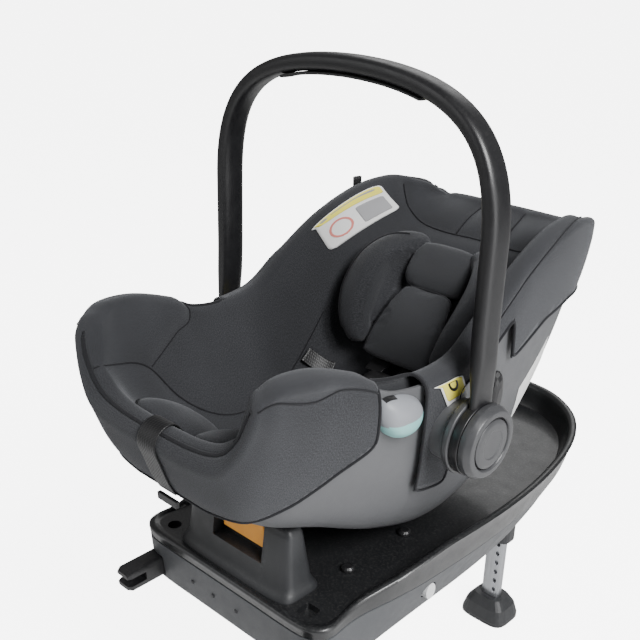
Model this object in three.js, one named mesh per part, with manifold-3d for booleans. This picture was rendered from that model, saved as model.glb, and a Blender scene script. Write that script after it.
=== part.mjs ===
// Infant car seat clicked into a base with anchor connectors and a support leg.
// Millimetres, +Z up. The foot end is towards -Y and the head end towards +Y.
// Everything is laid out from the handle's hinge axis, then moved so that Z = 0 is the floor
// under the support leg and the middle of the outline is at X = 0, Y = 0.
import * as THREE from 'three';
import { mergeVertices } from 'three/addons/utils/BufferGeometryUtils.js';
import Module from 'manifold-3d';

const wasm = await Module();
wasm.setup();

// ---------- driving dimensions ----------
const HINGE_HEIGHT = 620;
const HINGE_Y = -73.75;
const GAP = 0.8;
const SMOOTHING = 0.13;

const HANDLE_RISE = 363;
const HANDLE_LEAN = THREE.MathUtils.degToRad(2.4);
const HUB_RADIUS = 44;
const HUB_OUTER_X = 225;

const SHELL_WALL = 4;
const SKIRT_DEPTH = 9;
const RIM_V = 1.032;
const RIM_U = 0.017;

const ANCHOR_HALF_SPACING = 140;
const CONNECTOR_WIDTH = 28;
const CONNECTOR_HEIGHT = 30;
const CONNECTOR_Z = -246;

const BASE_BOTTOM = -270;
const BASE_SPLIT = -206;
const DECK_Z = -192;

const LEG_Y = 410;
const LEG_PIVOT_Z = -290;
const FLOOR_Z = -HINGE_HEIGHT;

// ---------- materials ----------
const finish = (color, roughness, metalness = 0) => ({ color, roughness, metalness });
const KNIT = finish(0x2b2c30, 0.95);
const KNIT_LIGHT = finish(0x3a3b40, 0.95);
const SHELL = finish(0x55565a, 0.6);
const BLACK = finish(0x1c1c1e, 0.45);
const HUB_GREY = finish(0x3a3a3d, 0.35);
const DARK = finish(0x2e3033, 0.5);
const DARK_GLOSS = finish(0x26282a, 0.3);
const STEEL = finish(0xa9abae, 0.35, 0.9);
const WEBBING = finish(0x17171a, 0.6);
const AQUA = finish(0x9fd8d0, 0.5);
const ORANGE = finish(0xe8962e, 0.6);
const WHITE = finish(0xe8e8e4, 0.6);
const YELLOW = finish(0xe9d23c, 0.6);
const RED = finish(0x8e1f24, 0.45);

// ---------- plain solids ----------
function volume(points, faces) {
  let sum = 0;
  for (const [i, j, k] of faces) {
    const [a, b, c] = [points[i], points[j], points[k]];
    sum += a[0] * (b[1] * c[2] - b[2] * c[1]);
    sum += a[1] * (b[2] * c[0] - b[0] * c[2]);
    sum += a[2] * (b[0] * c[1] - b[1] * c[0]);
  }
  return sum;
}

function solid(points, faces) {
  const outward = volume(points, faces) < 0 ? faces.map(([i, j, k]) => [i, k, j]) : faces;
  const geometry = new THREE.BufferGeometry();
  geometry.setAttribute('position', new THREE.Float32BufferAttribute(points.flat(), 3));
  geometry.setIndex(outward.flat());
  return geometry;
}

function middle(ring) {
  return [0, 1, 2].map((k) => ring.reduce((sum, p) => sum + p[k], 0) / ring.length);
}

// Skin through closed rings of equal length, with a fan over each end.
function loft(rings) {
  const size = rings[0].length;
  const points = rings.flat();
  const faces = [];
  for (let r = 0; r < rings.length - 1; r += 1) {
    for (let i = 0; i < size; i += 1) {
      const a = r * size + i;
      const b = r * size + ((i + 1) % size);
      faces.push([a, b, b + size], [a, b + size, a + size]);
    }
  }
  const first = points.push(middle(rings[0])) - 1;
  const last = points.push(middle(rings[rings.length - 1])) - 1;
  const start = (rings.length - 1) * size;
  for (let i = 0; i < size; i += 1) {
    const next = (i + 1) % size;
    faces.push([first, next, i], [last, start + i, start + next]);
  }
  return solid(points, faces);
}

// A flat outline swept straight from one placing to another.
function prism(outline, from, to) {
  const size = outline.length;
  const points = [...outline.map(from), ...outline.map(to)];
  const contour = outline.map(([a, b]) => new THREE.Vector2(a, b));
  const caps = THREE.ShapeUtils.triangulateShape(contour, []);
  const faces = caps.flatMap(([i, j, k]) => [[k, j, i], [i + size, j + size, k + size]]);
  for (let i = 0; i < size; i += 1) {
    const next = (i + 1) % size;
    faces.push([i, next, next + size], [i, next + size, i + size]);
  }
  if (THREE.ShapeUtils.isClockWise(contour)) {
    for (let i = caps.length * 2; i < faces.length; i += 1) faces[i].reverse();
  }
  return solid(points, faces);
}

function box(x0, x1, y0, y1, z0, z1) {
  const outline = [[y0, z0], [y1, z0], [y1, z1], [y0, z1]];
  return prism(outline, ([y, z]) => [x0, y, z], ([y, z]) => [x1, y, z]);
}

// Rounded box-like outline: power 2 is an ellipse, more is squarer.
function oval(halfA, halfB, power = 3, count = 20) {
  const ring = [];
  for (let i = 0; i < count; i += 1) {
    const angle = (2 * Math.PI * (i + 0.5)) / count;
    const [c, s] = [Math.cos(angle), Math.sin(angle)];
    const a = Math.sign(c) * halfA * Math.abs(c) ** (2 / power);
    const b = Math.sign(s) * halfB * Math.abs(s) ** (2 / power);
    ring.push([a, b]);
  }
  return ring;
}

// Solid of round rings about an axis along X: profile is a list of [x, radius].
function turned(profile, y, z, count = 28) {
  return loft(profile.map(([x, r]) => oval(r, r, 2, count).map(([a, b]) => [x, y + a, z + b])));
}

function shaftX(x0, x1, y, z, radius, count = 24) {
  return turned([[x0, radius], [x1, radius]], y, z, count);
}

// Cushion-like block along the second direction of a placing function.
function puff(place, centre, half, from, to, power = 3, steps = 6, count = 20) {
  const rings = [];
  for (let i = 0; i <= steps; i += 1) {
    const t = -Math.cos((Math.PI * i) / steps);
    const round = Math.max(0.45, (1 - Math.abs(t) ** 3.4) ** (1 / 3.4));
    const s = (from + to) / 2 + (t * (to - from)) / 2;
    const outline = oval(half[0] * round, half[1] * round, power, count);
    rings.push(outline.map(([a, b]) => place(centre[0] + a, s, centre[1] + b)));
  }
  return loft(rings);
}

// ---------- joining and cutting ----------
function toManifold(geometry) {
  const bare = geometry.clone();
  bare.deleteAttribute('normal');
  bare.deleteAttribute('uv');
  const merged = mergeVertices(bare, 1e-4);
  const mesh = new wasm.Mesh({
    numProp: 3,
    vertProperties: Float32Array.from(merged.attributes.position.array),
    triVerts: Uint32Array.from(merged.index.array),
  });
  return new wasm.Manifold(mesh);
}

// The largest piece of the result, with no void inside it and no loose crumbs.
function fromManifold(result) {
  const pieces = result.decompose().sort((a, b) => b.volume() - a.volume());
  const mesh = pieces[0].asOriginal().simplify(SMOOTHING).getMesh();
  const geometry = new THREE.BufferGeometry();
  const positions = new THREE.Float32BufferAttribute(Array.from(mesh.vertProperties), 3);
  geometry.setAttribute('position', positions);
  geometry.setIndex(Array.from(mesh.triVerts));
  return geometry;
}

function join(...parts) {
  return fromManifold(parts.map(toManifold).reduce((sum, part) => sum.add(part)));
}

function cut(body, ...tools) {
  const start = toManifold(body);
  return fromManifold(tools.map(toManifold).reduce((rest, tool) => rest.subtract(tool), start));
}

// ---------- the seat's two guiding surfaces ----------
function spline(points, t) {
  const last = points.length - 1;
  const inside = Math.min(Math.max(t, 0), 1);
  const i = Math.min(Math.floor(inside * last), last - 1);
  const f = inside * last - i;
  const over = (t - inside) * last;
  const [p1, p2] = [points[i], points[i + 1]];
  const p0 = points[i - 1] ?? p1.map((v, k) => 2 * v - p2[k]);
  const p3 = points[i + 2] ?? p2.map((v, k) => 2 * v - p1[k]);
  return p1.map((v, k) => {
    const m1 = (p2[k] - p0[k]) / 2;
    const m2 = (p3[k] - v) / 2;
    const cubic = 2 * v - 2 * p2[k] + m1 + m2;
    const square = -3 * v + 3 * p2[k] - 2 * m1 - m2;
    return v + f * (m1 + f * (square + f * cubic)) + over * (over < 0 ? m1 : m2);
  });
}

// Stations run from the foot end to the head end: [centre y, centre z, half width, rim y, rim z].
function surface(stations, fractions) {
  const rows = fractions.map(([across, up]) => stations.map(([yc, zc, w, yr, zr]) => {
    const along = up < 0.2 ? up * 1.2 : up;
    return [w * across, yc + (yr - yc) * along, zc + (zr - zc) * up];
  }));
  return (u, v) => {
    const rib = rows.map((row) => spline(row, u));
    const [x, y, z] = spline(rib, Math.abs(v));
    return [v < 0 ? -x : x, y, z];
  };
}

const shellOuter = surface([
  [-283, 22, 146, -264, 112],
  [-262, -35, 152, -240, 120],
  [-218, -76, 156, -196, 116],
  [-145, -112, 160, -140, 98],
  [-62, -154, 166, -85, 73],
  [20, -180, 173, 0, 72],
  [100, -178, 173, 60, 106],
  [180, -146, 168, 125, 143],
  [245, -90, 161, 195, 167],
  [300, -10, 153, 258, 172],
  [334, 70, 141, 305, 160],
  [346, 130, 118, 332, 150],
], [[0, 0], [0.42, 0.01], [0.72, 0.1], [0.88, 0.4], [0.96, 0.72], [1, 1]]);

const padSurface = surface([
  [-262, 40, 124, -250, 116],
  [-238, 5, 128, -228, 124],
  [-190, -34, 132, -188, 120],
  [-125, -68, 138, -138, 101],
  [-50, -92, 144, -85, 76],
  [20, -98, 150, 0, 76],
  [80, -74, 150, 58, 110],
  [135, -22, 146, 120, 146],
  [188, 38, 139, 188, 169],
  [238, 92, 131, 248, 173],
  [285, 130, 118, 290, 162],
  [320, 146, 100, 315, 152],
], [[0, 0], [0.45, 0.03], [0.75, 0.16], [0.92, 0.45], [0.98, 0.74], [1, 1]]);

function normalAt(face, u, v) {
  const step = 0.004;
  const [a, b] = [face(u - step, v), face(u + step, v)];
  const [c, d] = [face(u, v - step), face(u, v + step)];
  const along = new THREE.Vector3(b[0] - a[0], b[1] - a[1], b[2] - a[2]);
  const across = new THREE.Vector3(d[0] - c[0], d[1] - c[1], d[2] - c[2]);
  return along.cross(across).normalize().toArray();
}

// The surface moved by a depth: positive is away from the child.
function layer(face, depth) {
  return (u, v) => {
    const normal = normalAt(face, u, v);
    return face(u, v).map((value, k) => value + depth * normal[k]);
  };
}

// Block between two layers over a patch; the patch's v limits may change along u.
function slab(inner, outer, [u0, u1], [v0, v1], nu, nv) {
  const low = typeof v0 === 'function' ? v0 : () => v0;
  const high = typeof v1 === 'function' ? v1 : () => v1;
  const rings = [];
  for (let i = 0; i <= nu; i += 1) {
    const a = i / nu;
    const u = u0 + (u1 - u0) * a;
    const across = Array.from({ length: nv + 1 }, (_, j) => low(a) + ((high(a) - low(a)) * j) / nv);
    rings.push([...across.map((v) => inner(u, v)), ...across.reverse().map((v) => outer(u, v))]);
  }
  const size = rings[0].length;
  const points = rings.flat();
  const faces = [];
  for (let r = 0; r < nu; r += 1) {
    for (let i = 0; i < size; i += 1) {
      const p = r * size + i;
      const q = r * size + ((i + 1) % size);
      faces.push([p, q, q + size], [p, q + size, p + size]);
    }
  }
  const end = nu * size;
  for (let j = 0; j < nv; j += 1) {
    const [p, q, r, s] = [j, j + 1, size - 2 - j, size - 1 - j];
    faces.push([p, r, q], [p, s, r], [end + p, end + q, end + r], [end + p, end + r, end + s]);
  }
  return solid(points, faces);
}

// Low dome standing on a layer of the surface.
function dome(face, u, v, halfU, halfV, foot, height, count = 20) {
  const steps = [[1, foot], [1, foot + height * 0.3], [0.9, foot + height * 0.66],
    [0.7, foot + height * 0.88], [0.4, foot + height]];
  return loft(steps.map(([size, depth]) => oval(halfU * size, halfV * size, 2.3, count)
    .map(([a, b]) => layer(face, depth)(u + a, v + b))));
}

// ---------- scene helpers ----------
const seat = new THREE.Group();
seat.name = 'infant_car_seat';

function add(name, geometry, look) {
  const placed = geometry.clone();
  placed.translate(0, HINGE_Y, HINGE_HEIGHT);
  const mesh = new THREE.Mesh(placed, new THREE.MeshStandardMaterial(look));
  mesh.name = name;
  seat.add(mesh);
}

function mirrored(geometry) {
  const copy = geometry.clone();
  copy.scale(-1, 1, 1);
  const index = Array.from(copy.index.array);
  for (let i = 0; i < index.length; i += 3) [index[i + 1], index[i + 2]] = [index[i + 2], index[i + 1]];
  copy.setIndex(index);
  return copy;
}

function addPair(name, geometry, look) {
  add(`${name}_right`, geometry, look);
  add(`${name}_left`, mirrored(geometry), look);
}

// ---------- carrier shell ----------
const skin = (depth) => layer(shellOuter, depth);
const pad = (depth) => layer(padSurface, depth);

const bucket = slab(skin(-SHELL_WALL), skin(0), [0, 1], [-1, 1], 18, 16);
const midWall = skin(-SHELL_WALL / 2);
const bossCore = slab(pad(-10), midWall, [0.3, 0.62], [0.2, 1.1], 8, 10);
const boss = cut(turned([[150, 34], [192, 38]], 0, 0), bossCore);
const cornerTrim = box(112, 138, 314, 342, 149, 166);
const carrierShell = join(bucket, boss, mirrored(boss));
add('seat_shell', cut(carrierShell, cornerTrim, mirrored(cornerTrim)), SHELL);

// ---------- cover and padding ----------
const FOOT_SEAM = 0.31;
const MIDDLE_START = 0.4;
const HEAD_SEAM = 0.6;
const skirtOut = skin(SKIRT_DEPTH);
const clearance = slab(skin(-SHELL_WALL - 1.8), skin(1.9), [-0.007, 1.007], [-1.015, 1.015], 18, 16);

// The roll over the rim and the ends starts inside the lining, so the pieces knit together.
const rollIn = pad(2);
const rollOut = skin(SKIRT_DEPTH - 1);
const ROLL_V = RIM_V - 0.003;
const ROLL_U = RIM_U - 0.001;

function bothSides(right) {
  return [right, mirrored(right)];
}

const bossRoom = turned([[148, 40.5], [196, 40.5]], 0, 0);

function cover(...pieces) {
  return cut(join(...pieces), clearance, bossRoom, mirrored(bossRoom));
}

add('foot_cover', cover(
  slab(padSurface, midWall, [-RIM_U, FOOT_SEAM], [-RIM_V, RIM_V], 5, 14),
  slab(pad(3), skin(7), [-ROLL_U + 0.001, -0.002], [-1.012, 1.012], 1, 14),
  slab(skin(-1.5), skirtOut, [-RIM_U, 0.1], [-RIM_V, RIM_V], 2, 14),
  ...bothSides(slab(rollIn, rollOut, [-ROLL_U, FOOT_SEAM - 0.001], [1.005, ROLL_V], 5, 1)),
  ...bothSides(slab(skin(-1), skin(8.4), [0.09, FOOT_SEAM - 0.002], [0.64, ROLL_V + 0.001], 4, 3)),
), KNIT);

const middleRoll = slab(rollIn, skin(5.4), [MIDDLE_START, HEAD_SEAM - 0.004], [1.003, ROLL_V], 5, 1);
const sideFlap = slab(skin(-1), skin(6), [MIDDLE_START + 0.001, 0.45], [0.62, RIM_V], 3, 4);
add('seat_padding', cover(
  slab(padSurface, midWall, [FOOT_SEAM + 0.003, HEAD_SEAM - 0.003], [-1.008, 1.008], 6, 14),
  ...bothSides(middleRoll),
  ...bothSides(sideFlap),
), KNIT);

add('head_cover', cover(
  slab(padSurface, midWall, [HEAD_SEAM, 1 + RIM_U], [-RIM_V, RIM_V], 7, 14),
  slab(pad(3), skin(7), [1.002, 1 + ROLL_U - 0.001], [-1.012, 1.012], 1, 14),
  slab(skin(-1.5), skirtOut, [0.905, 1 + RIM_U], [-RIM_V, RIM_V], 3, 14),
  ...bothSides(slab(rollIn, rollOut, [HEAD_SEAM + 0.001, 1 + ROLL_U], [1.005, ROLL_V], 7, 1)),
  ...bothSides(slab(skin(-1), skin(8.4), [HEAD_SEAM + 0.002, 0.915],
    [(a) => 0.8 - 0.2 * a, ROLL_V + 0.001], 5, 3)),
), KNIT);

add('adjuster_flap', slab(pad(-5), pad(-2), [0.07, 0.16], [-0.26, 0.26], 2, 4), KNIT_LIGHT);

// ---------- backrest frame: s runs up the backrest, n stands off it towards the child ----------
const BACK_FOOT = [135, -22];
const BACK_DIRECTION = [0.67, 0.742];
function onBack(x, s, n) {
  const [c, d] = BACK_DIRECTION;
  return [x, BACK_FOOT[0] + c * s - d * n, BACK_FOOT[1] + d * s + c * n];
}

const headPlate = puff(onBack, [0, 10.4], [70, 4.6], 24, 148, 6, 4, 16);
const wing = puff(onBack, [89, 47], [19, 33], 2, 146, 3, 6, 16);
const bridge = puff(onBack, [75, 22], [17, 11.5], 22, 138, 4, 4, 12);
add('headrest', join(headPlate, wing, bridge, mirrored(wing), mirrored(bridge)), KNIT);
add('head_pillow', puff(onBack, [0, 33], [52, 17.5], 97, 158, 3.4), KNIT_LIGHT);
add('body_insert', puff(onBack, [0, 35.6], [56, 8], -14, 93, 5), KNIT_LIGHT);

// ---------- harness ----------
// Flat strip through points of the backrest frame, [x, s, n], lying across X.
function strip(stations, halfWidth, halfThick) {
  return loft(stations.map(([x, s, n]) => [[-1, -1], [1, -1], [1, 1], [-1, 1]]
    .map(([a, b]) => onBack(x + a * halfWidth, s, n + b * halfThick))));
}

addPair('shoulder_pad', strip([[36, 84, 22.6], [34, 50, 22.6], [31, 18, 22.4], [27, -6, 22.2],
  [25, -15, 22.6]], 17, 3.6), KNIT_LIGHT);
addPair('shoulder_strap', strip([[25, -16.5, 23.5], [24.5, -24, 27], [24, -31, 31]], 14, 1), WEBBING);

const buckle = join(
  puff(onBack, [0, 33], [31, 9], -76, -32, 4, 6, 20),
  puff(onBack, [0, 30], [20, 7], -86, -60, 4, 4, 16),
);
const buttonPocket = prism(oval(13.5, 11.5, 5, 16), ([a, b]) => onBack(a, b - 56, 37),
  ([a, b]) => onBack(a, b - 56, 60));
add('buckle', cut(buckle, buttonPocket), BLACK);
add('buckle_button', prism(oval(12.9, 10.9, 5, 16), ([a, b]) => onBack(a, b - 56, 40.5),
  ([a, b]) => onBack(a, b - 56, 44.5)), RED);

// Flat strip along a path in the X = 0 plane, [y, z], offset by layers above it.
function ribbon(path, halfWidth, thick, centreX = 0) {
  const rings = path.map(([y, z], i) => {
    const before = path[Math.max(i - 1, 0)];
    const after = path[Math.min(i + 1, path.length - 1)];
    const along = new THREE.Vector2(after[0] - before[0], after[1] - before[1]).normalize();
    const [ny, nz] = [along.y, -along.x];
    return [[-halfWidth, 0], [halfWidth, 0], [halfWidth, thick], [-halfWidth, thick]]
      .map(([a, b]) => [centreX + a, y + ny * b, z + nz * b]);
  });
  return loft(rings);
}

add('crotch_strap', ribbon([[29, -90], [36, -80], [43, -70]], 14, 1.6), WEBBING);
add('crotch_pad', puff((a, s, b) => [a, s, b - 54 + 0.42 * (s - 10)], [0, 0], [21, 6], -28, 46, 3.5), KNIT_LIGHT);

const hipPath = [[0.505, 0.62], [0.53, 0.5], [0.555, 0.38]];
const hipRings = hipPath.map(([u, v]) => [[-0.012, 3], [0.012, 3], [0.012, 1.2], [-0.012, 1.2]]
  .map(([a, depth]) => pad(-depth - 2.2)(u + a, v)));
addPair('lap_strap', loft(hipRings), WEBBING);

// Adjuster webbing: over the foot rim and down in front.
const inside = [0.062, 0.03, 0.004].map((u) => pad(-3.4)(u, 0));
const overRim = [padSurface(-RIM_U, 0), skirtOut(-RIM_U, 0)].map(([x, y, z]) => [x, y, z + 4.4]);
const front = [-0.012, 0.02, 0.05, 0.085].map((u) => skin(SKIRT_DEPTH + 4.4)(u, 0));
const webbingPath = [...inside, ...overRim, ...front].map(([, y, z]) => [y, z]);
add('adjuster_webbing', ribbon(webbingPath.reverse(), 15, 1.6), WEBBING);
const loopAt = skin(SKIRT_DEPTH + 4.4)(0.092, 0);
add('webbing_end', box(-17, 17, loopAt[1] - 3, loopAt[1] + 1.5, loopAt[2] - 11, loopAt[2] - 2), BLACK);

// ---------- trim on the carrier ----------
addPair('belt_guide', dome(shellOuter, 0.355, 0.9, 0.038, 0.1, 1.2, 19), AQUA);
add('warning_patch', slab(pad(-2.2), pad(-1.4), [0.645, 0.8], [-0.985, -0.7], 6, 6), WHITE);
addPair('side_tag', slab(skin(7), skin(7.8), [0.397, 0.425], [0.91, 0.993], 2, 3), YELLOW);
addPair('side_label', slab(skin(0.4), skin(0.9), [0.665, 0.76], [0.42, 0.58], 4, 3), WHITE);
addPair('canopy_clip', dome(shellOuter, 0.565, 0.74, 0.016, 0.07, 1.2, 12, 16), BLACK);
add('rear_belt_hook', slab(skin(1), skin(16), [0.8, 0.835], [-0.34, 0.34], 2, 8), AQUA);
add('release_lever', slab(skin(1.5), skin(15), [0.716, 0.768], [-0.2, 0.2], 3, 6), BLACK);

// ---------- handle ----------
addPair('hub_housing', turned([[192.3, 42], [195, 46], [203, 46]], 0, 0), HUB_GREY);

function archPoint(x, h) {
  return [x, h * Math.sin(HANDLE_LEAN), h * Math.cos(HANDLE_LEAN)];
}

const LEG_CURVE = [[209.4, 0], [209.4, 52], [206.5, 82], [204.5, 125], [203.5, 170], [202.5, 218]];
const TOP_CURVE = [];
for (let i = 1; i <= 14; i += 1) {
  const t = i / 14;
  const [a, b, c, d] = [(1 - t) ** 3, 3 * t * (1 - t) ** 2, 3 * t * t * (1 - t), t ** 3];
  const x = a * 202.5 + b * 199 + c * 150 + d * 0;
  const h = a * 218 + b * 318 + c * 362 + d * HANDLE_RISE;
  TOP_CURVE.push([x, h]);
}
const halfArch = [...LEG_CURVE, ...TOP_CURVE];
const archPath = [...halfArch, ...halfArch.slice(0, -1).reverse().map(([x, h]) => [-x, h])];

function barSize(h) {
  const grow = THREE.MathUtils.smoothstep(h, 46, 96);
  const top = THREE.MathUtils.smoothstep(h, 230, 355);
  return [5.8 + 4.2 * grow - 0.6 * top, 17.5 - 2.5 * top];
}

function archRings(offset, size, keep) {
  const rings = [];
  archPath.forEach(([x, h], i) => {
    if (!keep(x, h)) return;
    const [x0, h0] = archPath[Math.max(i - 1, 0)];
    const [x1, h1] = archPath[Math.min(i + 1, archPath.length - 1)];
    const along = new THREE.Vector2(x1 - x0, h1 - h0).normalize();
    const [nx, nh] = [along.y, -along.x];
    const [thick, wide] = size(h);
    rings.push(oval(thick, wide, 2.6, 14).map(([a, b]) => {
      const out = a + offset(h);
      const [px, py, pz] = archPoint(x + nx * out, h + nh * out);
      return [px, py + b * Math.cos(HANDLE_LEAN), pz - b * Math.sin(HANDLE_LEAN)];
    }));
  });
  return loft(rings);
}

const bar = archRings(() => 0, barSize, () => true);
const hubDisc = turned([[203.4, HUB_RADIUS - 1], [205, HUB_RADIUS], [215, HUB_RADIUS]], 0, 0);
add('handle_arch', join(bar, hubDisc, mirrored(hubDisc)), BLACK);

const gripSize = () => [1.6, 12.5];
const gripOffset = (h) => -(barSize(h)[0] + 2.3);
add('handle_grip', archRings(gripOffset, gripSize, (x) => Math.abs(x) < 105), BLACK);

addPair('hub_cap', turned([[215.3, 42], [221, 42], [HUB_OUTER_X, 38.5], [HUB_OUTER_X, 31.5],
  [218, 30.5]], 0, 0), HUB_GREY);
addPair('handle_button', turned([[221.2, 29.4], [223.6, 29.4], [225.2, 26], [225.8, 14]], 0, 0), HUB_GREY);

// ---------- base ----------
const RIM_OUTLINE = [[0, -210], [60, -210], [122, -210], [148, -206], [161, -196], [165, -182],
  [163, -164], [162, -146], [164, -126], [170, -104], [177, -80], [185, -40], [190, 10], [193, 70],
  [193, 130], [189, 190], [181, 245], [168, 300], [148, 350], [120, 392], [84, 422], [44, 440], [0, 446]];
const FLOOR_OUTLINE = [[0, -205], [60, -205], [122, -205], [148, -202], [159, -194], [162, -180],
  [161, -160], [160, -143], [160, -124], [159, -104], [158, -80], [157, -40], [156, 10], [155, 70],
  [152, 130], [146, 190], [137, 245], [126, 300], [112, 350], [92, 392], [66, 420], [36, 434], [0, 438]];

function rimHeight(y) {
  return -189 + 33 * THREE.MathUtils.smoothstep(y, -185, 20);
}

// Closed ring of the base's outline: blend 0 is the floor outline, 1 the rim outline.
function baseRing(blend, inset, height) {
  const right = RIM_OUTLINE.map(([x, y], i) => {
    const [fx, fy] = FLOOR_OUTLINE[i];
    return [fx + (x - fx) * blend, fy + (y - fy) * blend];
  });
  const centreY = 118;
  const shrunk = right.map(([x, y]) => {
    const sy = 1 - inset / 328;
    const sx = 1 - inset / 190;
    return [x * sx, centreY + (y - centreY) * sy];
  });
  const left = shrunk.slice(1, -1).reverse().map(([x, y]) => [-x, y]);
  return [...shrunk, ...left].map(([x, y]) => [x, y, height(y)]);
}

const at = (z) => () => z;
const tub = loft([
  baseRing(0, 7, at(BASE_BOTTOM)),
  baseRing(0.02, 1.5, at(BASE_BOTTOM + 5)),
  baseRing(0.2, 0, at(-245)),
  baseRing(0.62, 0, at(BASE_SPLIT)),
]);
const tubHollow = loft([
  baseRing(0.02, 9, at(BASE_BOTTOM + 6)),
  baseRing(0.2, 6, at(-245)),
  baseRing(0.62, 6, at(BASE_SPLIT + 4)),
]);
const slotX = [ANCHOR_HALF_SPACING - CONNECTOR_WIDTH / 2 - 0.8, ANCHOR_HALF_SPACING + CONNECTOR_WIDTH / 2 + 0.8];
const slotZ = [CONNECTOR_Z - CONNECTOR_HEIGHT / 2 - 0.8, CONNECTOR_Z + CONNECTOR_HEIGHT / 2 + 0.8];
const slot = box(slotX[0], slotX[1], -225, -186, slotZ[0], slotZ[1]);
const sidePocket = prism(oval(9.6, 12.6, 2, 20), ([a, b]) => [145, a - 11, b - 233],
  ([a, b]) => [200, a - 11, b - 233]);
add('base_housing', cut(tub, tubHollow, slot, mirrored(slot), sidePocket, mirrored(sidePocket)), DARK);

const coverBody = loft([
  baseRing(0.64, 0, at(BASE_SPLIT + 0.5)),
  baseRing(0.9, 0, (y) => rimHeight(y) - 7),
  baseRing(1, 1, (y) => rimHeight(y) - 2),
  baseRing(1, 5, rimHeight),
]);
const deck = loft([
  baseRing(0.9, 20, at(DECK_Z)),
  baseRing(1, 13, at(-150)),
  baseRing(1, 10, at(-120)),
]);
const roundPocket = prism(oval(8, 8, 2, 20), ([a, b]) => [a - 128, b - 182, DECK_Z - 9],
  ([a, b]) => [a - 128, b - 182, -150]);
const squarePocket = prism(oval(8, 8, 6, 20), ([a, b]) => [a + 124, b - 182, DECK_Z - 9],
  ([a, b]) => [a + 124, b - 182, -150]);
add('base_cover', cut(coverBody, deck, roundPocket, squarePocket), DARK_GLOSS);

const towerProfile = [[-187, DECK_Z + 0.4], [-184, -150], [-178, -104], [-172, -101], [-148, -118],
  [-140, -130], [-140, DECK_Z + 0.4]];
const tower = prism(towerProfile, ([y, z]) => [-96, y, z], ([y, z]) => [96, y, z]);
const towerRecess = prism([[-215, -165], [-168, -152], [-168, -112], [-215, -100]],
  ([y, z]) => [-46, y, z], ([y, z]) => [46, y, z]);
add('front_tower', cut(tower, towerRecess), DARK);
add('orange_plate', box(-30, 44, -175, -168.6, -146, -114), ORANGE);

[[102, -91], [102, 16]].forEach(([x, y], i) => {
  const stud = loft([[DECK_Z + 0.4, 9], [DECK_Z + 4, 9], [DECK_Z + 7, 6]]
    .map(([z, r]) => oval(r, r, 2, 16).map(([a, b]) => [x + a, y + b, z])));
  addPair(`deck_stud_${i === 0 ? 'front' : 'rear'}`, stud, BLACK);
});

addPair('side_release_button', prism(oval(9, 12, 2, 20), ([a, b]) => [157, a - 11, b - 233],
  ([a, b]) => [171.5, a - 11, b - 233]), WHITE);

// ---------- anchor connectors ----------
const halfW = CONNECTOR_WIDTH / 2;
const halfH = CONNECTOR_HEIGHT / 2;
const connectorBody = loft([-262, -256, -197].map((y, i) => {
  const grow = i === 0 ? 3 : 0;
  return oval(halfW - grow, halfH - grow, 7, 20)
    .map(([a, b]) => [ANCHOR_HALF_SPACING + a, y, CONNECTOR_Z + b]);
}));
const jaw = box(ANCHOR_HALF_SPACING - 20, ANCHOR_HALF_SPACING + 20, -270, -234,
  CONNECTOR_Z - 6, CONNECTOR_Z + 6);
addPair('connector', cut(connectorBody, jaw), BLACK);
addPair('connector_bar', box(ANCHOR_HALF_SPACING - 7, ANCHOR_HALF_SPACING + 6, -196.6, -60,
  CONNECTOR_Z - 7, CONNECTOR_Z + 7), STEEL);

// ---------- support leg ----------
const cheek = box(25, 33, LEG_Y - 18, LEG_Y + 18, LEG_PIVOT_Z - 16, BASE_BOTTOM - 4);
const plate = box(-33, 33, LEG_Y - 18, LEG_Y + 18, BASE_BOTTOM - 5.4, BASE_BOTTOM - 0.4);
const pinHole = shaftX(-40, 40, LEG_Y, LEG_PIVOT_Z, 5.3);
add('leg_bracket', cut(join(plate, cheek, mirrored(cheek)), pinHole), DARK);
add('leg_pin', shaftX(-36, 36, LEG_Y, LEG_PIVOT_Z, 5), STEEL);

const tubeOutline = oval(22, 14, 3.5, 20);
const place = (z) => ([a, b]) => [a, LEG_Y + b, z];
const outerTube = prism(tubeOutline, place(-430), place(LEG_PIVOT_Z));
const knuckle = shaftX(-22, 22, LEG_Y, LEG_PIVOT_Z, 13.6);
const tubeBore = prism(oval(18.8, 10.8, 3.5, 20), place(-440), place(-312));
add('leg_upper', cut(join(outerTube, knuckle), tubeBore, shaftX(-30, 30, LEG_Y, LEG_PIVOT_Z, 5.2)), STEEL);

const collarOuter = prism(oval(27, 19, 3.5, 20), place(-448), place(-400));
const collarBore = prism(oval(22.3, 14.3, 3.5, 20), place(-430.4), place(-390));
const collarThroat = prism(oval(19, 11, 3.5, 20), place(-455), place(-410));
const collarWindow = prism(oval(8.5, 6.5, 4, 16), ([a, b]) => [a, LEG_Y - 30, b - 418],
  ([a, b]) => [a, LEG_Y - 5, b - 418]);
add('leg_collar', cut(collarOuter, collarBore, collarThroat, collarWindow), DARK);
add('leg_button', prism(oval(8, 6, 4, 16), ([a, b]) => [a, LEG_Y - 22, b - 418],
  ([a, b]) => [a, LEG_Y - 17.6, b - 418]), WHITE);

const innerTube = prism(oval(18, 10, 3.5, 20), place(FLOOR_Z + 42), place(-316));
const indexHoles = Array.from({ length: 6 }, (_, i) => prism(oval(3.5, 5, 2, 12),
  ([a, b]) => [a + 9, LEG_Y - 20, b + FLOOR_Z + 62 + i * 20],
  ([a, b]) => [a + 9, LEG_Y - 4, b + FLOOR_Z + 62 + i * 20]));
add('leg_lower', cut(innerTube, ...indexHoles), STEEL);

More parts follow.
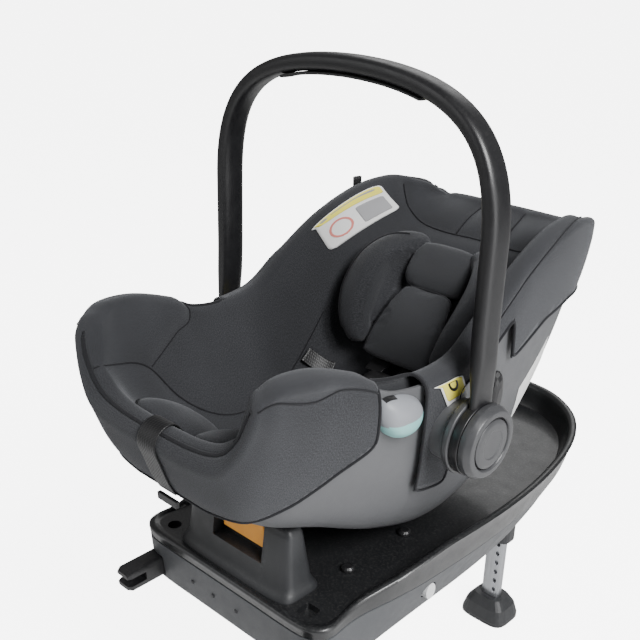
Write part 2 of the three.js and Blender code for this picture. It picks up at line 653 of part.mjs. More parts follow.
const footBody = loft([[0, 1], [8, 1], [30, 0.86], [46, 0.6]].map(([z, size]) => oval(46 * size, 36 * size, 4, 24)
  .map(([a, b]) => [a, LEG_Y + b, FLOOR_Z + z])));
const footSocket = prism(oval(18.4, 10.4, 3.5, 20), place(FLOOR_Z + 41.6), place(FLOOR_Z + 60));
add('leg_foot', cut(footBody, footSocket), DARK);

export default seat;
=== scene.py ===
import math

import bmesh
import bpy
import numpy as np
from mathutils import Matrix, Vector
from mathutils.kdtree import KDTree


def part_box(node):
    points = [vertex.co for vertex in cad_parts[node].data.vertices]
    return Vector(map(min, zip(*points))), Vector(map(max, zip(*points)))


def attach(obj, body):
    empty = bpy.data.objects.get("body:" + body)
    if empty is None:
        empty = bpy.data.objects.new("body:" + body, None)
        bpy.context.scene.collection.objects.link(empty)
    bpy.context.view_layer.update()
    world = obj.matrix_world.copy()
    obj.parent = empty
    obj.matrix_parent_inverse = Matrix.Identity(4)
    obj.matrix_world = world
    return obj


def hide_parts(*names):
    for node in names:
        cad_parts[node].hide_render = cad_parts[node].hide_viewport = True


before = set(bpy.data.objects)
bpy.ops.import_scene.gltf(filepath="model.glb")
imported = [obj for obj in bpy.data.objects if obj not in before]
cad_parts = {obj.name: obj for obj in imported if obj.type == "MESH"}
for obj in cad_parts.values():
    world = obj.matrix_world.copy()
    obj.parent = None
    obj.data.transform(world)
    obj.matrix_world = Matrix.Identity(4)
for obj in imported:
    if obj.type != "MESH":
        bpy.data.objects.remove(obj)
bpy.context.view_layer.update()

# Infant car seat on its base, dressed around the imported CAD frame.
# Sizes are in millimetres from the handle's hinge unless a note says otherwise.
mm = 0.001
mergeGap = 2e-6  # metres; points nearer than this are one point
cordAside = (0.31, 0.52, 0.79)  # any direction that no cord runs along
hingeLow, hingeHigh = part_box("handle_button_right")
hinge = np.array([0.0, (hingeLow[1] + hingeHigh[1]) / 2, (hingeLow[2] + hingeHigh[2]) / 2])
scene = bpy.context.scene


def placed(points):
    return np.asarray(points, dtype=float) * mm + hinge


# Short ways to place and join shader nodes.
def addNode(tree, kind, **values):
    node = tree.nodes.new(kind)
    for key, value in values.items():
        if key.startswith("in_"):
            name = key[3:].replace("_", " ")
            node.inputs[int(name) if name.isdigit() else name].default_value = value
        else:
            setattr(node, key, value)
    return node


def mathNode(tree, operation, first, second=None, clamp=False):
    node = addNode(tree, "ShaderNodeMath", operation=operation, use_clamp=clamp)
    for slot, value in enumerate((first, second)):
        if value is None:
            continue
        if isinstance(value, (int, float)):
            node.inputs[slot].default_value = value
        else:
            tree.links.new(value, node.inputs[slot])
    return node.outputs[0]


def times(tree, first, second, clamp=False):
    return mathNode(tree, "MULTIPLY", first, second, clamp)


def plus(tree, first, second, clamp=False):
    return mathNode(tree, "ADD", first, second, clamp)


def minus(tree, first, second):
    return mathNode(tree, "SUBTRACT", first, second)


def mixColour(tree, factor, first, second, blend="MIX"):
    node = addNode(tree, "ShaderNodeMix", data_type="RGBA", blend_type=blend)
    for slot, value in ((0, factor), (6, first), (7, second)):
        if isinstance(value, (int, float, tuple)):
            node.inputs[slot].default_value = value
        else:
            tree.links.new(value, node.inputs[slot])
    return node.outputs[2]


# A colour made lighter or darker by one value.
def shaded(tree, colour, shade):
    grey = addNode(tree, "ShaderNodeCombineColor")
    for channel in range(3):
        tree.links.new(shade, grey.inputs[channel])
    return mixColour(tree, 1.0, colour, grey.outputs[0], "MULTIPLY")


def startGroup(name, inputs, outputs):
    tree = bpy.data.node_groups.new(name, "ShaderNodeTree")
    for label, kind, value in inputs:
        socket = tree.interface.new_socket(label, in_out="INPUT", socket_type=kind)
        if value is not None:
            socket.default_value = value
    for label, kind in outputs:
        tree.interface.new_socket(label, in_out="OUTPUT", socket_type=kind)
    return tree, tree.nodes.new("NodeGroupInput").outputs, tree.nodes.new("NodeGroupOutput").inputs


def noiseAt(tree, vector, scale, detail=2.0, rough=0.5):
    node = addNode(tree, "ShaderNodeTexNoise", in_Scale=scale, in_Detail=detail, in_Roughness=rough)
    tree.links.new(vector, node.inputs["Vector"])
    return node.outputs["Fac"]


def stretch(tree, value, low, high, outLow=0.0, outHigh=1.0):
    node = addNode(tree, "ShaderNodeMapRange", in_From_Min=low, in_From_Max=high,
                   in_To_Min=outLow, in_To_Max=outHigh)
    tree.links.new(value, node.inputs["Value"])
    return node.outputs["Result"]


surfaceOutputs = [("Color", "NodeSocketColor"), ("Height", "NodeSocketFloat"),
                  ("Roughness", "NodeSocketFloat")]
maskOutput = [("Mask", "NodeSocketFloat")]


def buildKnitGroup():
    tree, given, out = startGroup("heatherKnit", [
        ("Vector", "NodeSocketVector", None),
        ("Yarn", "NodeSocketColor", (0.1, 0.1, 0.11, 1)),
        ("Fleck", "NodeSocketColor", (0.2, 0.2, 0.21, 1)),
        ("Loops", "NodeSocketFloat", 620.0),
        ("Fleck Share", "NodeSocketFloat", 0.5),
    ], surfaceOutputs)
    scaled = addNode(tree, "ShaderNodeVectorMath", operation="SCALE")
    tree.links.new(given["Vector"], scaled.inputs[0])
    tree.links.new(given["Loops"], scaled.inputs["Scale"])
    parts = addNode(tree, "ShaderNodeSeparateXYZ")
    tree.links.new(scaled.outputs[0], parts.inputs[0])
    column = mathNode(tree, "FRACT", parts.outputs["X"])
    lean = mathNode(tree, "ABSOLUTE", minus(tree, column, 0.5))
    row = mathNode(tree, "FRACT", plus(tree, parts.outputs["Y"], lean))
    yarn = mathNode(tree, "SINE", times(tree, row, math.pi))
    gap = times(tree, minus(tree, 0.5, lean), 2.0)
    rounded = mathNode(tree, "POWER", mathNode(tree, "SINE", times(tree, gap, math.pi)), 0.5)
    loop = times(tree, yarn, rounded)
    fleck = stretch(tree, noiseAt(tree, given["Vector"], 950.0, 2.0, 0.7), 0.42, 0.62)
    share = times(tree, fleck, given["Fleck Share"])
    slow = stretch(tree, noiseAt(tree, given["Vector"], 14.0, 3.0), 0.3, 0.7, 0.86, 1.12)
    # Painted shade in the gaps between the yarn loops and a slight painted highlight on their crests,
    # times a slow random tone.
    shade = times(tree, stretch(tree, loop, 0.0, 1.0, 0.72, 1.08), slow)
    colour = mixColour(tree, share, given["Yarn"], given["Fleck"])
    tree.links.new(shaded(tree, colour, shade), out["Color"])
    fuzz = times(tree, noiseAt(tree, given["Vector"], 2400.0), 0.35)
    tree.links.new(plus(tree, loop, fuzz), out["Height"])
    tree.links.new(stretch(tree, fleck, 0.0, 1.0, 0.94, 0.8), out["Roughness"])
    return tree


def buildGrainGroup():
    tree, given, out = startGroup("mouldedGrain", [
        ("Vector", "NodeSocketVector", None),
        ("Base", "NodeSocketColor", (0.05, 0.05, 0.05, 1)),
        ("Grain", "NodeSocketFloat", 1500.0),
        ("Smooth", "NodeSocketFloat", 0.35),
        ("Variation", "NodeSocketFloat", 0.12),
    ], surfaceOutputs)
    cells = addNode(tree, "ShaderNodeTexVoronoi", feature="F1")
    tree.links.new(given["Vector"], cells.inputs["Vector"])
    tree.links.new(given["Grain"], cells.inputs["Scale"])
    pits = stretch(tree, cells.outputs["Distance"], 0.0, 0.7)
    cloud = noiseAt(tree, given["Vector"], 9.0, 5.0, 0.6)
    streak = noiseAt(tree, given["Vector"], 60.0, 3.0, 0.6)
    tone = plus(tree, minus(tree, cloud, 0.5), minus(tree, streak, 0.5))
    shade = plus(tree, times(tree, tone, given["Variation"]), 1.0)
    tree.links.new(shaded(tree, given["Base"], shade), out["Color"])
    tree.links.new(pits, out["Height"])
    rub = times(tree, minus(tree, streak, 0.5), 0.3)
    dull = times(tree, pits, 0.08)
    rough = plus(tree, plus(tree, given["Smooth"], rub), dull, clamp=True)
    tree.links.new(rough, out["Roughness"])
    return tree


def buildWearGroup():
    tree, given, out = startGroup("edgeWear", [
        ("Vector", "NodeSocketVector", None),
        ("Amount", "NodeSocketFloat", 0.4),
    ], maskOutput)
    geometry = addNode(tree, "ShaderNodeNewGeometry")
    edge = stretch(tree, geometry.outputs["Pointiness"], 0.52, 0.6)
    scuffs = stretch(tree, noiseAt(tree, given["Vector"], 140.0, 4.0, 0.7), 0.45, 0.7)
    mask = times(tree, times(tree, edge, scuffs), given["Amount"], clamp=True)
    tree.links.new(mask, out["Mask"])
    return tree


def buildDustGroup():
    tree, given, out = startGroup("settledDust", [
        ("Vector", "NodeSocketVector", None),
        ("Amount", "NodeSocketFloat", 0.15),
    ], maskOutput)
    geometry = addNode(tree, "ShaderNodeNewGeometry")
    parts = addNode(tree, "ShaderNodeSeparateXYZ")
    tree.links.new(geometry.outputs["Normal"], parts.inputs[0])
    up = stretch(tree, parts.outputs["Z"], 0.35, 1.0)
    specks = stretch(tree, noiseAt(tree, given["Vector"], 320.0, 4.0, 0.75), 0.5, 0.75)
    mask = times(tree, times(tree, up, specks), given["Amount"], clamp=True)
    tree.links.new(mask, out["Mask"])
    return tree


def buildWebbingGroup():
    tree, given, out = startGroup("webbingRibs", [
        ("Vector", "NodeSocketVector", None),
        ("Thread", "NodeSocketColor", (0.012, 0.012, 0.014, 1)),
        ("Ribs", "NodeSocketFloat", 260.0),
    ], surfaceOutputs)
    parts = addNode(tree, "ShaderNodeSeparateXYZ")
    tree.links.new(given["Vector"], parts.inputs[0])
    across = times(tree, parts.outputs["X"], given["Ribs"])
    along = times(tree, parts.outputs["Y"], given["Ribs"])
    slant = mathNode(tree, "FRACT", plus(tree, across, along))
    twill = mathNode(tree, "SINE", times(tree, slant, math.pi))
    rib = mathNode(tree, "ABSOLUTE", mathNode(tree, "SINE", times(tree, across, math.pi)))
    height = times(tree, plus(tree, rib, twill), 0.5)
    # Painted highlight on the rib crests and painted shade in the grooves between them.
    shade = stretch(tree, height, 0.0, 1.0, 0.55, 1.6)
    tree.links.new(shaded(tree, given["Thread"], shade), out["Color"])
    tree.links.new(height, out["Height"])
    tree.links.new(stretch(tree, height, 0.0, 1.0, 0.6, 0.34), out["Roughness"])
    return tree


groups = {
    "knit": buildKnitGroup(), "grain": buildGrainGroup(), "wear": buildWearGroup(),
    "dust": buildDustGroup(), "webbing": buildWebbingGroup(),
}
print("shared effects built")


def startMaterial(name):
    material = bpy.data.materials.new(name)
    material.use_nodes = True
    tree = material.node_tree
    shader = tree.nodes["Principled BSDF"]
    return material, tree, shader


def useGroup(tree, name, vector, **values):
    node = addNode(tree, "ShaderNodeGroup", node_tree=groups[name])
    tree.links.new(vector, node.inputs["Vector"])
    for key, value in values.items():
        node.inputs[key.replace("_", " ")].default_value = value
    return node.outputs


def bumpFrom(tree, shader, height, strength, distance):
    bump = addNode(tree, "ShaderNodeBump", in_Strength=strength, in_Distance=distance)
    tree.links.new(height, bump.inputs["Height"])
    tree.links.new(bump.outputs["Normal"], shader.inputs["Normal"])


def knitMaterial(name, yarn, fleck, loops=620.0, share=0.5, sheen=0.18):
    material, tree, shader = startMaterial(name)
    vector = addNode(tree, "ShaderNodeUVMap", uv_map="pattern").outputs[0]
    knit = useGroup(tree, "knit", vector, Yarn=yarn, Fleck=fleck, Loops=loops, Fleck_Share=share)
    tree.links.new(knit["Color"], shader.inputs["Base Color"])
    tree.links.new(knit["Roughness"], shader.inputs["Roughness"])
    bumpFrom(tree, shader, knit["Height"], 0.35, 0.0006)
    shader.inputs["Sheen Weight"].default_value = sheen
    shader.inputs["Sheen Roughness"].default_value = 0.55
    shader.inputs["Sheen Tint"].default_value = (0.8, 0.82, 0.86, 1)
    shader.inputs["Specular IOR Level"].default_value = 0.25
    return material


def plasticMaterial(name, base, smooth, grain=1500.0, bump=0.12, wear=0.3, dust=0.1, coat=0.0,
                    variation=0.12):
    material, tree, shader = startMaterial(name)
    vector = addNode(tree, "ShaderNodeTexCoord").outputs["Object"]
    skin = useGroup(tree, "grain", vector, Base=base, Grain=grain, Smooth=smooth, Variation=variation)
    scuffed = useGroup(tree, "wear", vector, Amount=wear)
    dusty = useGroup(tree, "dust", vector, Amount=dust)
    pale = tuple(min(1.0, channel * 1.8 + 0.06) for channel in base[:3]) + (1,)
    worn = mixColour(tree, scuffed["Mask"], skin["Color"], pale)
    tree.links.new(mixColour(tree, dusty["Mask"], worn, (0.42, 0.41, 0.39, 1)),
                   shader.inputs["Base Color"])
    tree.links.new(skin["Roughness"], shader.inputs["Roughness"])
    bumpFrom(tree, shader, skin["Height"], bump, 0.0004)
    shader.inputs["Coat Weight"].default_value = coat
    shader.inputs["Coat Roughness"].default_value = 0.12
    return material


def steelMaterial(name):
    material, tree, shader = startMaterial(name)
    coords = addNode(tree, "ShaderNodeTexCoord")
    mapping = addNode(tree, "ShaderNodeMapping", in_Scale=(1400.0, 1400.0, 14.0))
    tree.links.new(coords.outputs["Object"], mapping.inputs["Vector"])
    brushed = noiseAt(tree, mapping.outputs[0], 1.0, 3.0, 0.6)
    smudge = noiseAt(tree, coords.outputs["Object"], 22.0, 4.0, 0.6)
    tone = mixColour(tree, stretch(tree, brushed, 0.3, 0.7), (0.34, 0.35, 0.37, 1), (0.52, 0.53, 0.55, 1))
    tree.links.new(mixColour(tree, stretch(tree, smudge, 0.5, 0.75, 0.0, 0.35), tone,
                             (0.26, 0.26, 0.27, 1)),
                   shader.inputs["Base Color"])
    tree.links.new(stretch(tree, plus(tree, brushed, smudge), 0.6, 1.4, 0.24, 0.46),
                   shader.inputs["Roughness"])
    bumpFrom(tree, shader, brushed, 0.1, 0.0002)
    shader.inputs["Metallic"].default_value = 0.9
    return material


def webbingMaterial(name, thread):
    material, tree, shader = startMaterial(name)
    vector = addNode(tree, "ShaderNodeUVMap", uv_map="pattern").outputs[0]
    ribs = useGroup(tree, "webbing", vector, Thread=thread)
    tree.links.new(ribs["Color"], shader.inputs["Base Color"])
    tree.links.new(ribs["Roughness"], shader.inputs["Roughness"])
    bumpFrom(tree, shader, ribs["Height"], 0.5, 0.0008)
    shader.inputs["Sheen Weight"].default_value = 0.04
    return material


finishes = {
    "charcoalKnit": knitMaterial("charcoalKnit", (0.017, 0.0175, 0.020, 1), (0.062, 0.064, 0.071, 1)),
    "insertKnit": knitMaterial("insertKnit", (0.019, 0.0195, 0.022, 1), (0.070, 0.072, 0.079, 1), 700.0),
    "pipingKnit": knitMaterial("pipingKnit", (0.008, 0.008, 0.010, 1), (0.02, 0.02, 0.022, 1), 900.0,
                               0.3, 0.1),
    "stitchThread": knitMaterial("stitchThread", (0.05, 0.05, 0.055, 1), (0.10, 0.10, 0.11, 1), 1500.0,
                                 0.4, 0.1),
    "shellGrey": plasticMaterial("shellGrey", (0.092, 0.094, 0.099, 1), 0.48, 1100.0, 0.2, 0.25, 0.06),
    "satinBlack": plasticMaterial("satinBlack", (0.009, 0.009, 0.010, 1), 0.3, 1900.0, 0.1, 0.25, 0.05),
    "gripBlack": plasticMaterial("gripBlack", (0.018, 0.018, 0.019, 1), 0.62, 700.0, 0.5, 0.2, 0.05),
    "hubGrey": plasticMaterial("hubGrey", (0.050, 0.051, 0.054, 1), 0.28, 1900.0, 0.08, 0.3, 0.05),
    "baseDark": plasticMaterial("baseDark", (0.020, 0.021, 0.023, 1), 0.38, 1300.0, 0.16, 0.3, 0.1),
    "baseGloss": plasticMaterial("baseGloss", (0.009, 0.0095, 0.0105, 1), 0.3, 1500.0, 0.1, 0.35, 0.1,
                                 0.25),
    "wallSlate": plasticMaterial("wallSlate", (0.060, 0.063, 0.068, 1), 0.45, 1300.0, 0.14, 0.25, 0.06),
    "aquaPlastic": plasticMaterial("aquaPlastic", (0.25, 0.50, 0.49, 1), 0.38, 1900.0, 0.06, 0.15, 0.03),
    "paleGrey": plasticMaterial("paleGrey", (0.24, 0.25, 0.27, 1), 0.4, 1900.0, 0.06, 0.15, 0.03),
    "orangePlate": plasticMaterial("orangePlate", (0.80, 0.33, 0.035, 1), 0.5, 1700.0, 0.08, 0.2, 0.05),
    "whitePlastic": plasticMaterial("whitePlastic", (0.66, 0.67, 0.68, 1), 0.36, 1900.0, 0.05, 0.1, 0.04),
    "labelWhite": plasticMaterial("labelWhite", (0.74, 0.74, 0.73, 1), 0.55, 900.0, 0.1, 0.0, 0.03, 0.0,
                                  0.05),
    "labelYellow": plasticMaterial("labelYellow", (0.80, 0.72, 0.10, 1), 0.55, 900.0, 0.1, 0.0, 0.03,
                                   0.0, 0.05),
    "labelInk": plasticMaterial("labelInk", (0.30, 0.30, 0.31, 1), 0.6, 900.0, 0.1, 0.0, 0.0, 0.0, 0.05),
    "labelRed": plasticMaterial("labelRed", (0.62, 0.20, 0.17, 1), 0.6, 900.0, 0.1, 0.0, 0.0, 0.0, 0.05),
    "buckleRed": plasticMaterial("buckleRed", (0.30, 0.018, 0.022, 1), 0.32, 1900.0, 0.06, 0.2, 0.03),
    "steel": steelMaterial("brushedSteel"),
    "blackWebbing": webbingMaterial("blackWebbing", (0.0035, 0.0035, 0.004, 1)),
}
print("finishes built")


# A finished bmesh becomes an object with its finish, parented to the body it rides on; the CAD parts it
# replaces are hidden.
def finishPiece(name, bm, finish, body, replaces=(), smooth=True, recalc=True):
    bmesh.ops.remove_doubles(bm, verts=bm.verts, dist=mergeGap)
    if recalc:
        bmesh.ops.recalc_face_normals(bm, faces=bm.faces)
    mesh = bpy.data.meshes.new(name)
    bm.to_mesh(mesh)
    bm.free()
    for polygon in mesh.polygons:
        polygon.use_smooth = smooth
    piece = bpy.data.objects.new(name, mesh)
    scene.collection.objects.link(piece)
    for one in ([finish] if isinstance(finish, str) else finish):
        mesh.materials.append(finishes[one])
    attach(piece, body)
    if replaces:
        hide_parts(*replaces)
    return piece


def addModifier(piece, kind, **values):
    modifier = piece.modifiers.new(kind.lower(), kind)
    for key, value in values.items():
        setattr(modifier, key, value)
    return modifier


def softEdges(piece, width=1.0, segments=3, angle=35):
    return addModifier(piece, "BEVEL", width=width * mm, segments=segments, limit_method="ANGLE",
                       angle_limit=math.radians(angle), harden_normals=True)


# A grid sheet whose points, and pattern coordinates, are set by a function of its row and column.
def gridOver(bm, rows, columns, pointsAt, uvAt=None):
    made = bmesh.ops.create_grid(bm, x_segments=rows - 1, y_segments=columns - 1, size=0.5)["verts"]
    across = np.array([[v.co.x + 0.5, v.co.y + 0.5] for v in made])
    index = np.rint(across * [rows - 1, columns - 1]).astype(int)
    target = pointsAt(index[:, 0], index[:, 1])
    for vert, point in zip(made, target):
        vert.co = point
    if uvAt is not None:
        layer = bm.loops.layers.uv.get("pattern") or bm.loops.layers.uv.new("pattern")
        flat = {v: uv for v, uv in zip(made, uvAt(index[:, 0], index[:, 1]))}
        for face in {f for v in made for f in v.link_faces}:
            for loop in face.loops:
                if loop.vert in flat:
                    loop[layer].uv = flat[loop.vert]
    return made


def superRound(angle, power):
    c, s = np.cos(angle), np.sin(angle)
    return np.sign(c) * np.abs(c) ** (2 / power), np.sign(s) * np.abs(s) ** (2 / power)


def unit(vectors):
    return vectors / np.maximum(np.linalg.norm(vectors, axis=-1, keepdims=True), 1e-12)


# Bar swept along a path: sideways is the direction of the first half size, caps are rounded over.
def sweepBar(bm, path, sideways, sizes, power=2.6, around=18, cap=1.0, capSteps=3):
    path = np.asarray(path, dtype=float)
    count = len(path)
    sizes = np.broadcast_to(np.asarray(sizes, dtype=float), (count, 2))
    along = unit(np.gradient(path, axis=0))
    side = np.broadcast_to(np.asarray(sideways, dtype=float), (count, 3))
    side = unit(side - (side * along).sum(1, keepdims=True) * along)
    up = np.cross(along, side)
    lengths = np.concatenate([[0], np.cumsum(np.linalg.norm(np.diff(path, axis=0), axis=1))])
    theta = np.linspace(0, math.pi / 2, capSteps + 1)[1:]
    order = [(0, -t) for t in theta[::-1]] + [(i, 0.0) for i in range(count)]
    order += [(count - 1, t) for t in theta]
    station = np.array([o[0] for o in order])
    turn = np.array([o[1] for o in order])

    def pointsAt(row, column):
        i, t = station[row], turn[row]
        a, b = superRound(2 * math.pi * (column % around) / around, power)
        shrink = np.cos(t)
        reach = np.sin(t) * cap * sizes[i].min(axis=1)
        return (path[i] + along[i] * reach[:, None] + side[i] * (a * sizes[i][:, 0] * shrink)[:, None]
                + up[i] * (b * sizes[i][:, 1] * shrink)[:, None])

    def uvAt(row, column):
        i, t = station[row], turn[row]
        a, b = superRound(2 * math.pi * (column % around) / around, power)
        reach = np.sin(t) * cap * sizes[i].min(axis=1)
        return np.stack([a * sizes[i][:, 0] + b * sizes[i][:, 1] * 0.5, lengths[i] + reach], 1)

    return gridOver(bm, len(order), around + 1, pointsAt, uvAt)


# Rings of equal length made into one skin, closed by a flat cap at each end.
def ringSkin(bm, rings):
    rings = np.asarray(rings, dtype=float)
    count = rings.shape[1]
    gridOver(bm, len(rings), count + 1, lambda r, c: rings[r, c % count])
    bmesh.ops.remove_doubles(bm, verts=bm.verts, dist=mergeGap)
    for ring in (rings[0], rings[-1]):
        centre = Vector(ring[0])
        start = min(bm.verts, key=lambda v: (v.co - centre).length)
        seen = dict.fromkeys(e for e in start.link_edges if e.is_boundary)
        stack = list(seen)
        while stack:
            for vert in stack.pop().verts:
                for edge in vert.link_edges:
                    if edge.is_boundary and edge not in seen:
                        seen[edge] = None
                        stack.append(edge)
        bmesh.ops.holes_fill(bm, edges=list(seen), sides=0)


# Turned part: profile of [distance along the axis, radius], spun about an axis.
def turnedPart(bm, profile, centre, axis, steps=64):
    axis = Vector(axis).normalized()
    side = axis.orthogonal().normalized()
    verts = [bm.verts.new(Vector(centre) + axis * (a * mm) + side * (max(r, 0.0) * mm)) for a,
             r in profile]
    edges = [bm.edges.new(pair) for pair in zip(verts, verts[1:])]
    bmesh.ops.spin(bm, geom=verts + edges, cent=Vector(centre), axis=axis, dvec=(0, 0, 0),
                   angle=2 * math.pi, steps=steps, use_merge=True, use_duplicate=False)
    bmesh.ops.remove_doubles(bm, verts=bm.verts, dist=mergeGap)


def roundedProfile(points, radius, segments=4):
    out = [points[0]]
    for before, here, after in zip(points, points[1:], points[2:]):
        b, h, a = np.array(before, float), np.array(here, float), np.array(after, float)
        back, on = np.linalg.norm(b - h), np.linalg.norm(a - h)
        cut = min(radius, back * 0.45, on * 0.45)
        start, end = h + (b - h) / back * cut, h + (a - h) / on * cut
        for i in range(segments + 1):
            t = i / segments
            out.append(tuple((1 - t) ** 2 * start + 2 * t * (1 - t) * h + t * t * end))
    out.append(points[-1])
    return out


# The bucket's outside and the lining's inside, as two guiding surfaces: u runs from the foot end to the
# head end, v across from -1 to 1.
shellGuide = {
    "stations": [  # centre y, centre z, half width, rim y, rim z
        [-283, 22, 146, -264, 112], [-262, -35, 152, -240, 120], [-218, -76, 156, -196, 116],
        [-145, -112, 160, -140, 98], [-62, -154, 166, -85, 73], [20, -180, 173, 0, 72],
        [100, -178, 173, 60, 106], [180, -146, 168, 125, 143], [245, -90, 161, 195, 167],
        [300, -10, 153, 258, 172], [334, 70, 141, 305, 160], [346, 130, 118, 332, 150]],
    "fractions": [[0, 0], [0.42, 0.01], [0.72, 0.1], [0.88, 0.4], [0.96, 0.72], [1, 1]],
}
padGuide = {
    "stations": [
        [-262, 40, 124, -250, 116], [-238, 5, 128, -228, 124], [-190, -34, 132, -188, 120],
        [-125, -68, 138, -138, 101], [-50, -92, 144, -85, 76], [20, -98, 150, 0, 76],
        [80, -74, 150, 58, 110], [135, -22, 146, 120, 146], [188, 38, 139, 188, 169],
        [238, 92, 131, 248, 173], [285, 130, 118, 290, 162], [320, 146, 100, 315, 152]],
    "fractions": [[0, 0], [0.45, 0.03], [0.75, 0.16], [0.92, 0.45], [0.98, 0.74], [1, 1]],
}


def splineAt(points, t, perSample=False):
    last = (points.shape[1] if perSample else points.shape[0]) - 1
    inside = np.clip(t, 0, 1)
    i = np.minimum(np.floor(inside * last).astype(int), last - 1)
    f = inside * last - i
    over = (t - inside) * last
    rows = np.arange(len(t))

    def take(k):
        k = np.clip(k, 0, last)
        return points[rows, k] if perSample else points[k]

    p1, p2 = take(i), take(i + 1)
    shape = (-1,) + (1,) * (p1.ndim - 1)
    first, final = (i == 0).reshape(shape), (i == last - 1).reshape(shape)
    p0 = np.where(first, 2 * p1 - p2, take(i - 1))
    p3 = np.where(final, 2 * p2 - p1, take(i + 2))
    m1, m2 = (p2 - p0) / 2, (p3 - p1) / 2
    f, over = f.reshape(shape), over.reshape(shape)
    cubic, square = 2 * p1 - 2 * p2 + m1 + m2, -3 * p1 + 3 * p2 - 2 * m1 - m2
    return p1 + f * (m1 + f * (square + f * cubic)) + over * np.where(over < 0, m1, m2)


def guideSurface(guide):
    yc, zc, w, yr, zr = np.array(guide["stations"], dtype=float).T
    rows = []
    for across, up in guide["fractions"]:
        along = up * 1.2 if up < 0.2 else up
        rows.append(np.stack([w * across, yc + (yr - yc) * along, zc + (zr - zc) * up], 1))
    table = np.stack(rows, 1)

    def face(u, v):
        u, v = np.broadcast_arrays(np.asarray(u, float), np.asarray(v, float))
        flat = splineAt(splineAt(table, u.ravel()), np.abs(v).ravel(), True)
        flat[:, 0] *= np.where(v.ravel() < 0, -1, 1)
        return flat.reshape(u.shape + (3,))

    return face


shellFace = guideSurface(shellGuide)
padFace = guideSurface(padGuide)


def normalOf(face, u, v, step=0.004):
    return unit(np.cross(face(u + step, v) - face(u - step, v), face(u, v + step) - face(u, v - step)))


def layerOf(face, u, v, depth):
    u, v = np.broadcast_arrays(np.asarray(u, float), np.asarray(v, float))
    return face(u, v) + normalOf(face, u, v) * np.asarray(depth, float)[..., None]


# The flat pattern has u along the seat and c across it: up to 1 is the inside, 1 to 2 the roll
# over the rim and 2 to 3 the skirt down the outside. Past either end the sheet turns over.
wrapShape = {"rimV": 0.985, "endU": 0.006, "turnOver": 0.03, "rollHeight": 13.0, "endHeight": 12.0,
             "skirtDepth": 8.0}


def wrapPoint(u, c, skirtDepth=None):
    s = wrapShape
    depth = s["skirtDepth"] if skirtDepth is None else skirtDepth
    u, c = np.broadcast_arrays(np.asarray(u, float), np.asarray(c, float))
    uIn = np.clip(u, -s["endU"], 1 + s["endU"])
    over = u - uIn
    theta = np.clip(np.abs(over) / s["turnOver"], 0, 1) * math.pi / 2
    a, side = np.abs(c), np.where(c < 0, -1.0, 1.0)
    v = side * s["rimV"] * np.where(a < 1.5, np.minimum(a, 1), 1 - np.clip(a - 2, 0, 1))
    phi = np.clip(a - 1, 0, 1) * math.pi
    inner = padFace(uIn, v)
    outer = layerOf(shellFace, uIn, v, np.full(u.shape, depth))
    middle, half = (inner + outer) / 2, (inner - outer) / 2
    step = 0.01
    upward = (padFace(uIn, v) - padFace(uIn, v - side * step)
              + shellFace(uIn, v) - shellFace(uIn, v - side * step))
    onward = (padFace(uIn + step, v) - padFace(uIn - step, v)
              + shellFace(uIn + step, v) - shellFace(uIn - step, v))
    upward, onward = unit(upward), unit(onward) * np.sign(over)[..., None]
    cosPhi, sinPhi = np.cos(phi), np.sin(phi)
    flatter = np.sign(cosPhi) * np.abs(cosPhi) ** 0.8
    cosT, sinT = np.cos(theta), np.sin(theta)
    return (middle + half * (flatter * cosT)[..., None]
            + upward * (s["rollHeight"] * sinPhi ** 0.85 * cosT)[..., None]
            + onward * (s["endHeight"] * sinT)[..., None])


def densify(points, gap=0.012):
    points = np.asarray(points, float)
    steps = [max(2, int(np.ceil(np.abs(b - a).max() / gap))) for a, b in zip(points, points[1:])]
    fine = sum(steps) + 1
    return splineAt(points, np.linspace(0, 1, fine))


def smoothLine(points, times=6):
    points = np.array(points)
    for _ in range(times):
        points[1:-1] = points[1:-1] * 0.5 + (points[:-2] + points[2:]) * 0.25
    return points


# Seams in the flat pattern: a groove in the cover, and a piping cord lying in it.
def nearestTo(points):
    tree = KDTree(len(points))
    for i, point in enumerate(points):
        tree.insert(point, i)
    tree.balance()
    return tree


def puffBetween(bm, seamPoints, depth, width):
    tree = nearestTo([Vector(p) for p in seamPoints])
    bm.normal_update()
    for vert in bm.verts:
        away = tree.find(vert.co)[2]
        vert.co -= vert.normal * (depth * math.exp(-((away / width) ** 1.3)))


def pipingAlong(name, piece, lines, radius, lift, body):
    mesh = piece.data
    tree = nearestTo([v.co for v in mesh.vertices])
    bm = bmesh.new()
    for line in lines:
        spots = []
        for point in line:
            near = tree.find_n(Vector(point), 4)
            normal = sum((mesh.vertices[n[1]].normal for n in near), Vector()).normalized()
            height = min((n[0] - Vector(point)).dot(normal) for n in near)
            spots.append(Vector(point) + normal * (height + lift * mm))
        path = smoothLine(np.array([tuple(p) for p in spots]), 3)
        sweepBar(bm, path, cordAside, (radius * mm, radius * mm), power=2.0, around=8, capSteps=2)
    return finishPiece(name, bm, "pipingKnit", body)


# The hem is cut into the flat pattern one straight stretch at a time, on both sides.
hemReach = (0.009, 0.06)  # how far past a stretch its cut may reach, in u and in c


def cutHem(bm, hem):
    for (ua, ca), (ub, cb) in zip(hem, hem[1:]):
        if max(ca, cb) >= 3.0:
            continue
        for side in (1, -1):
            low, high = min(ua, ub) - hemReach[0], max(ua, ub) + hemReach[0]
            cLow, cHigh = min(ca, cb) - hemReach[1], max(ca, cb) + hemReach[1]
            middles = [(face, face.calc_center_median()) for face in bm.faces]
            faces = [face for face, at in middles if low < at.x < high and cLow < side * at.y < cHigh]
            near = dict.fromkeys(faces + [e for f in faces for e in f.edges])
            near.update(dict.fromkeys(v for f in faces for v in f.verts))
            bmesh.ops.bisect_plane(bm, geom=list(near), dist=1e-5, plane_co=(ua, side * ca, 0),
                                   plane_no=(side * (ca - cb), ub - ua, 0))


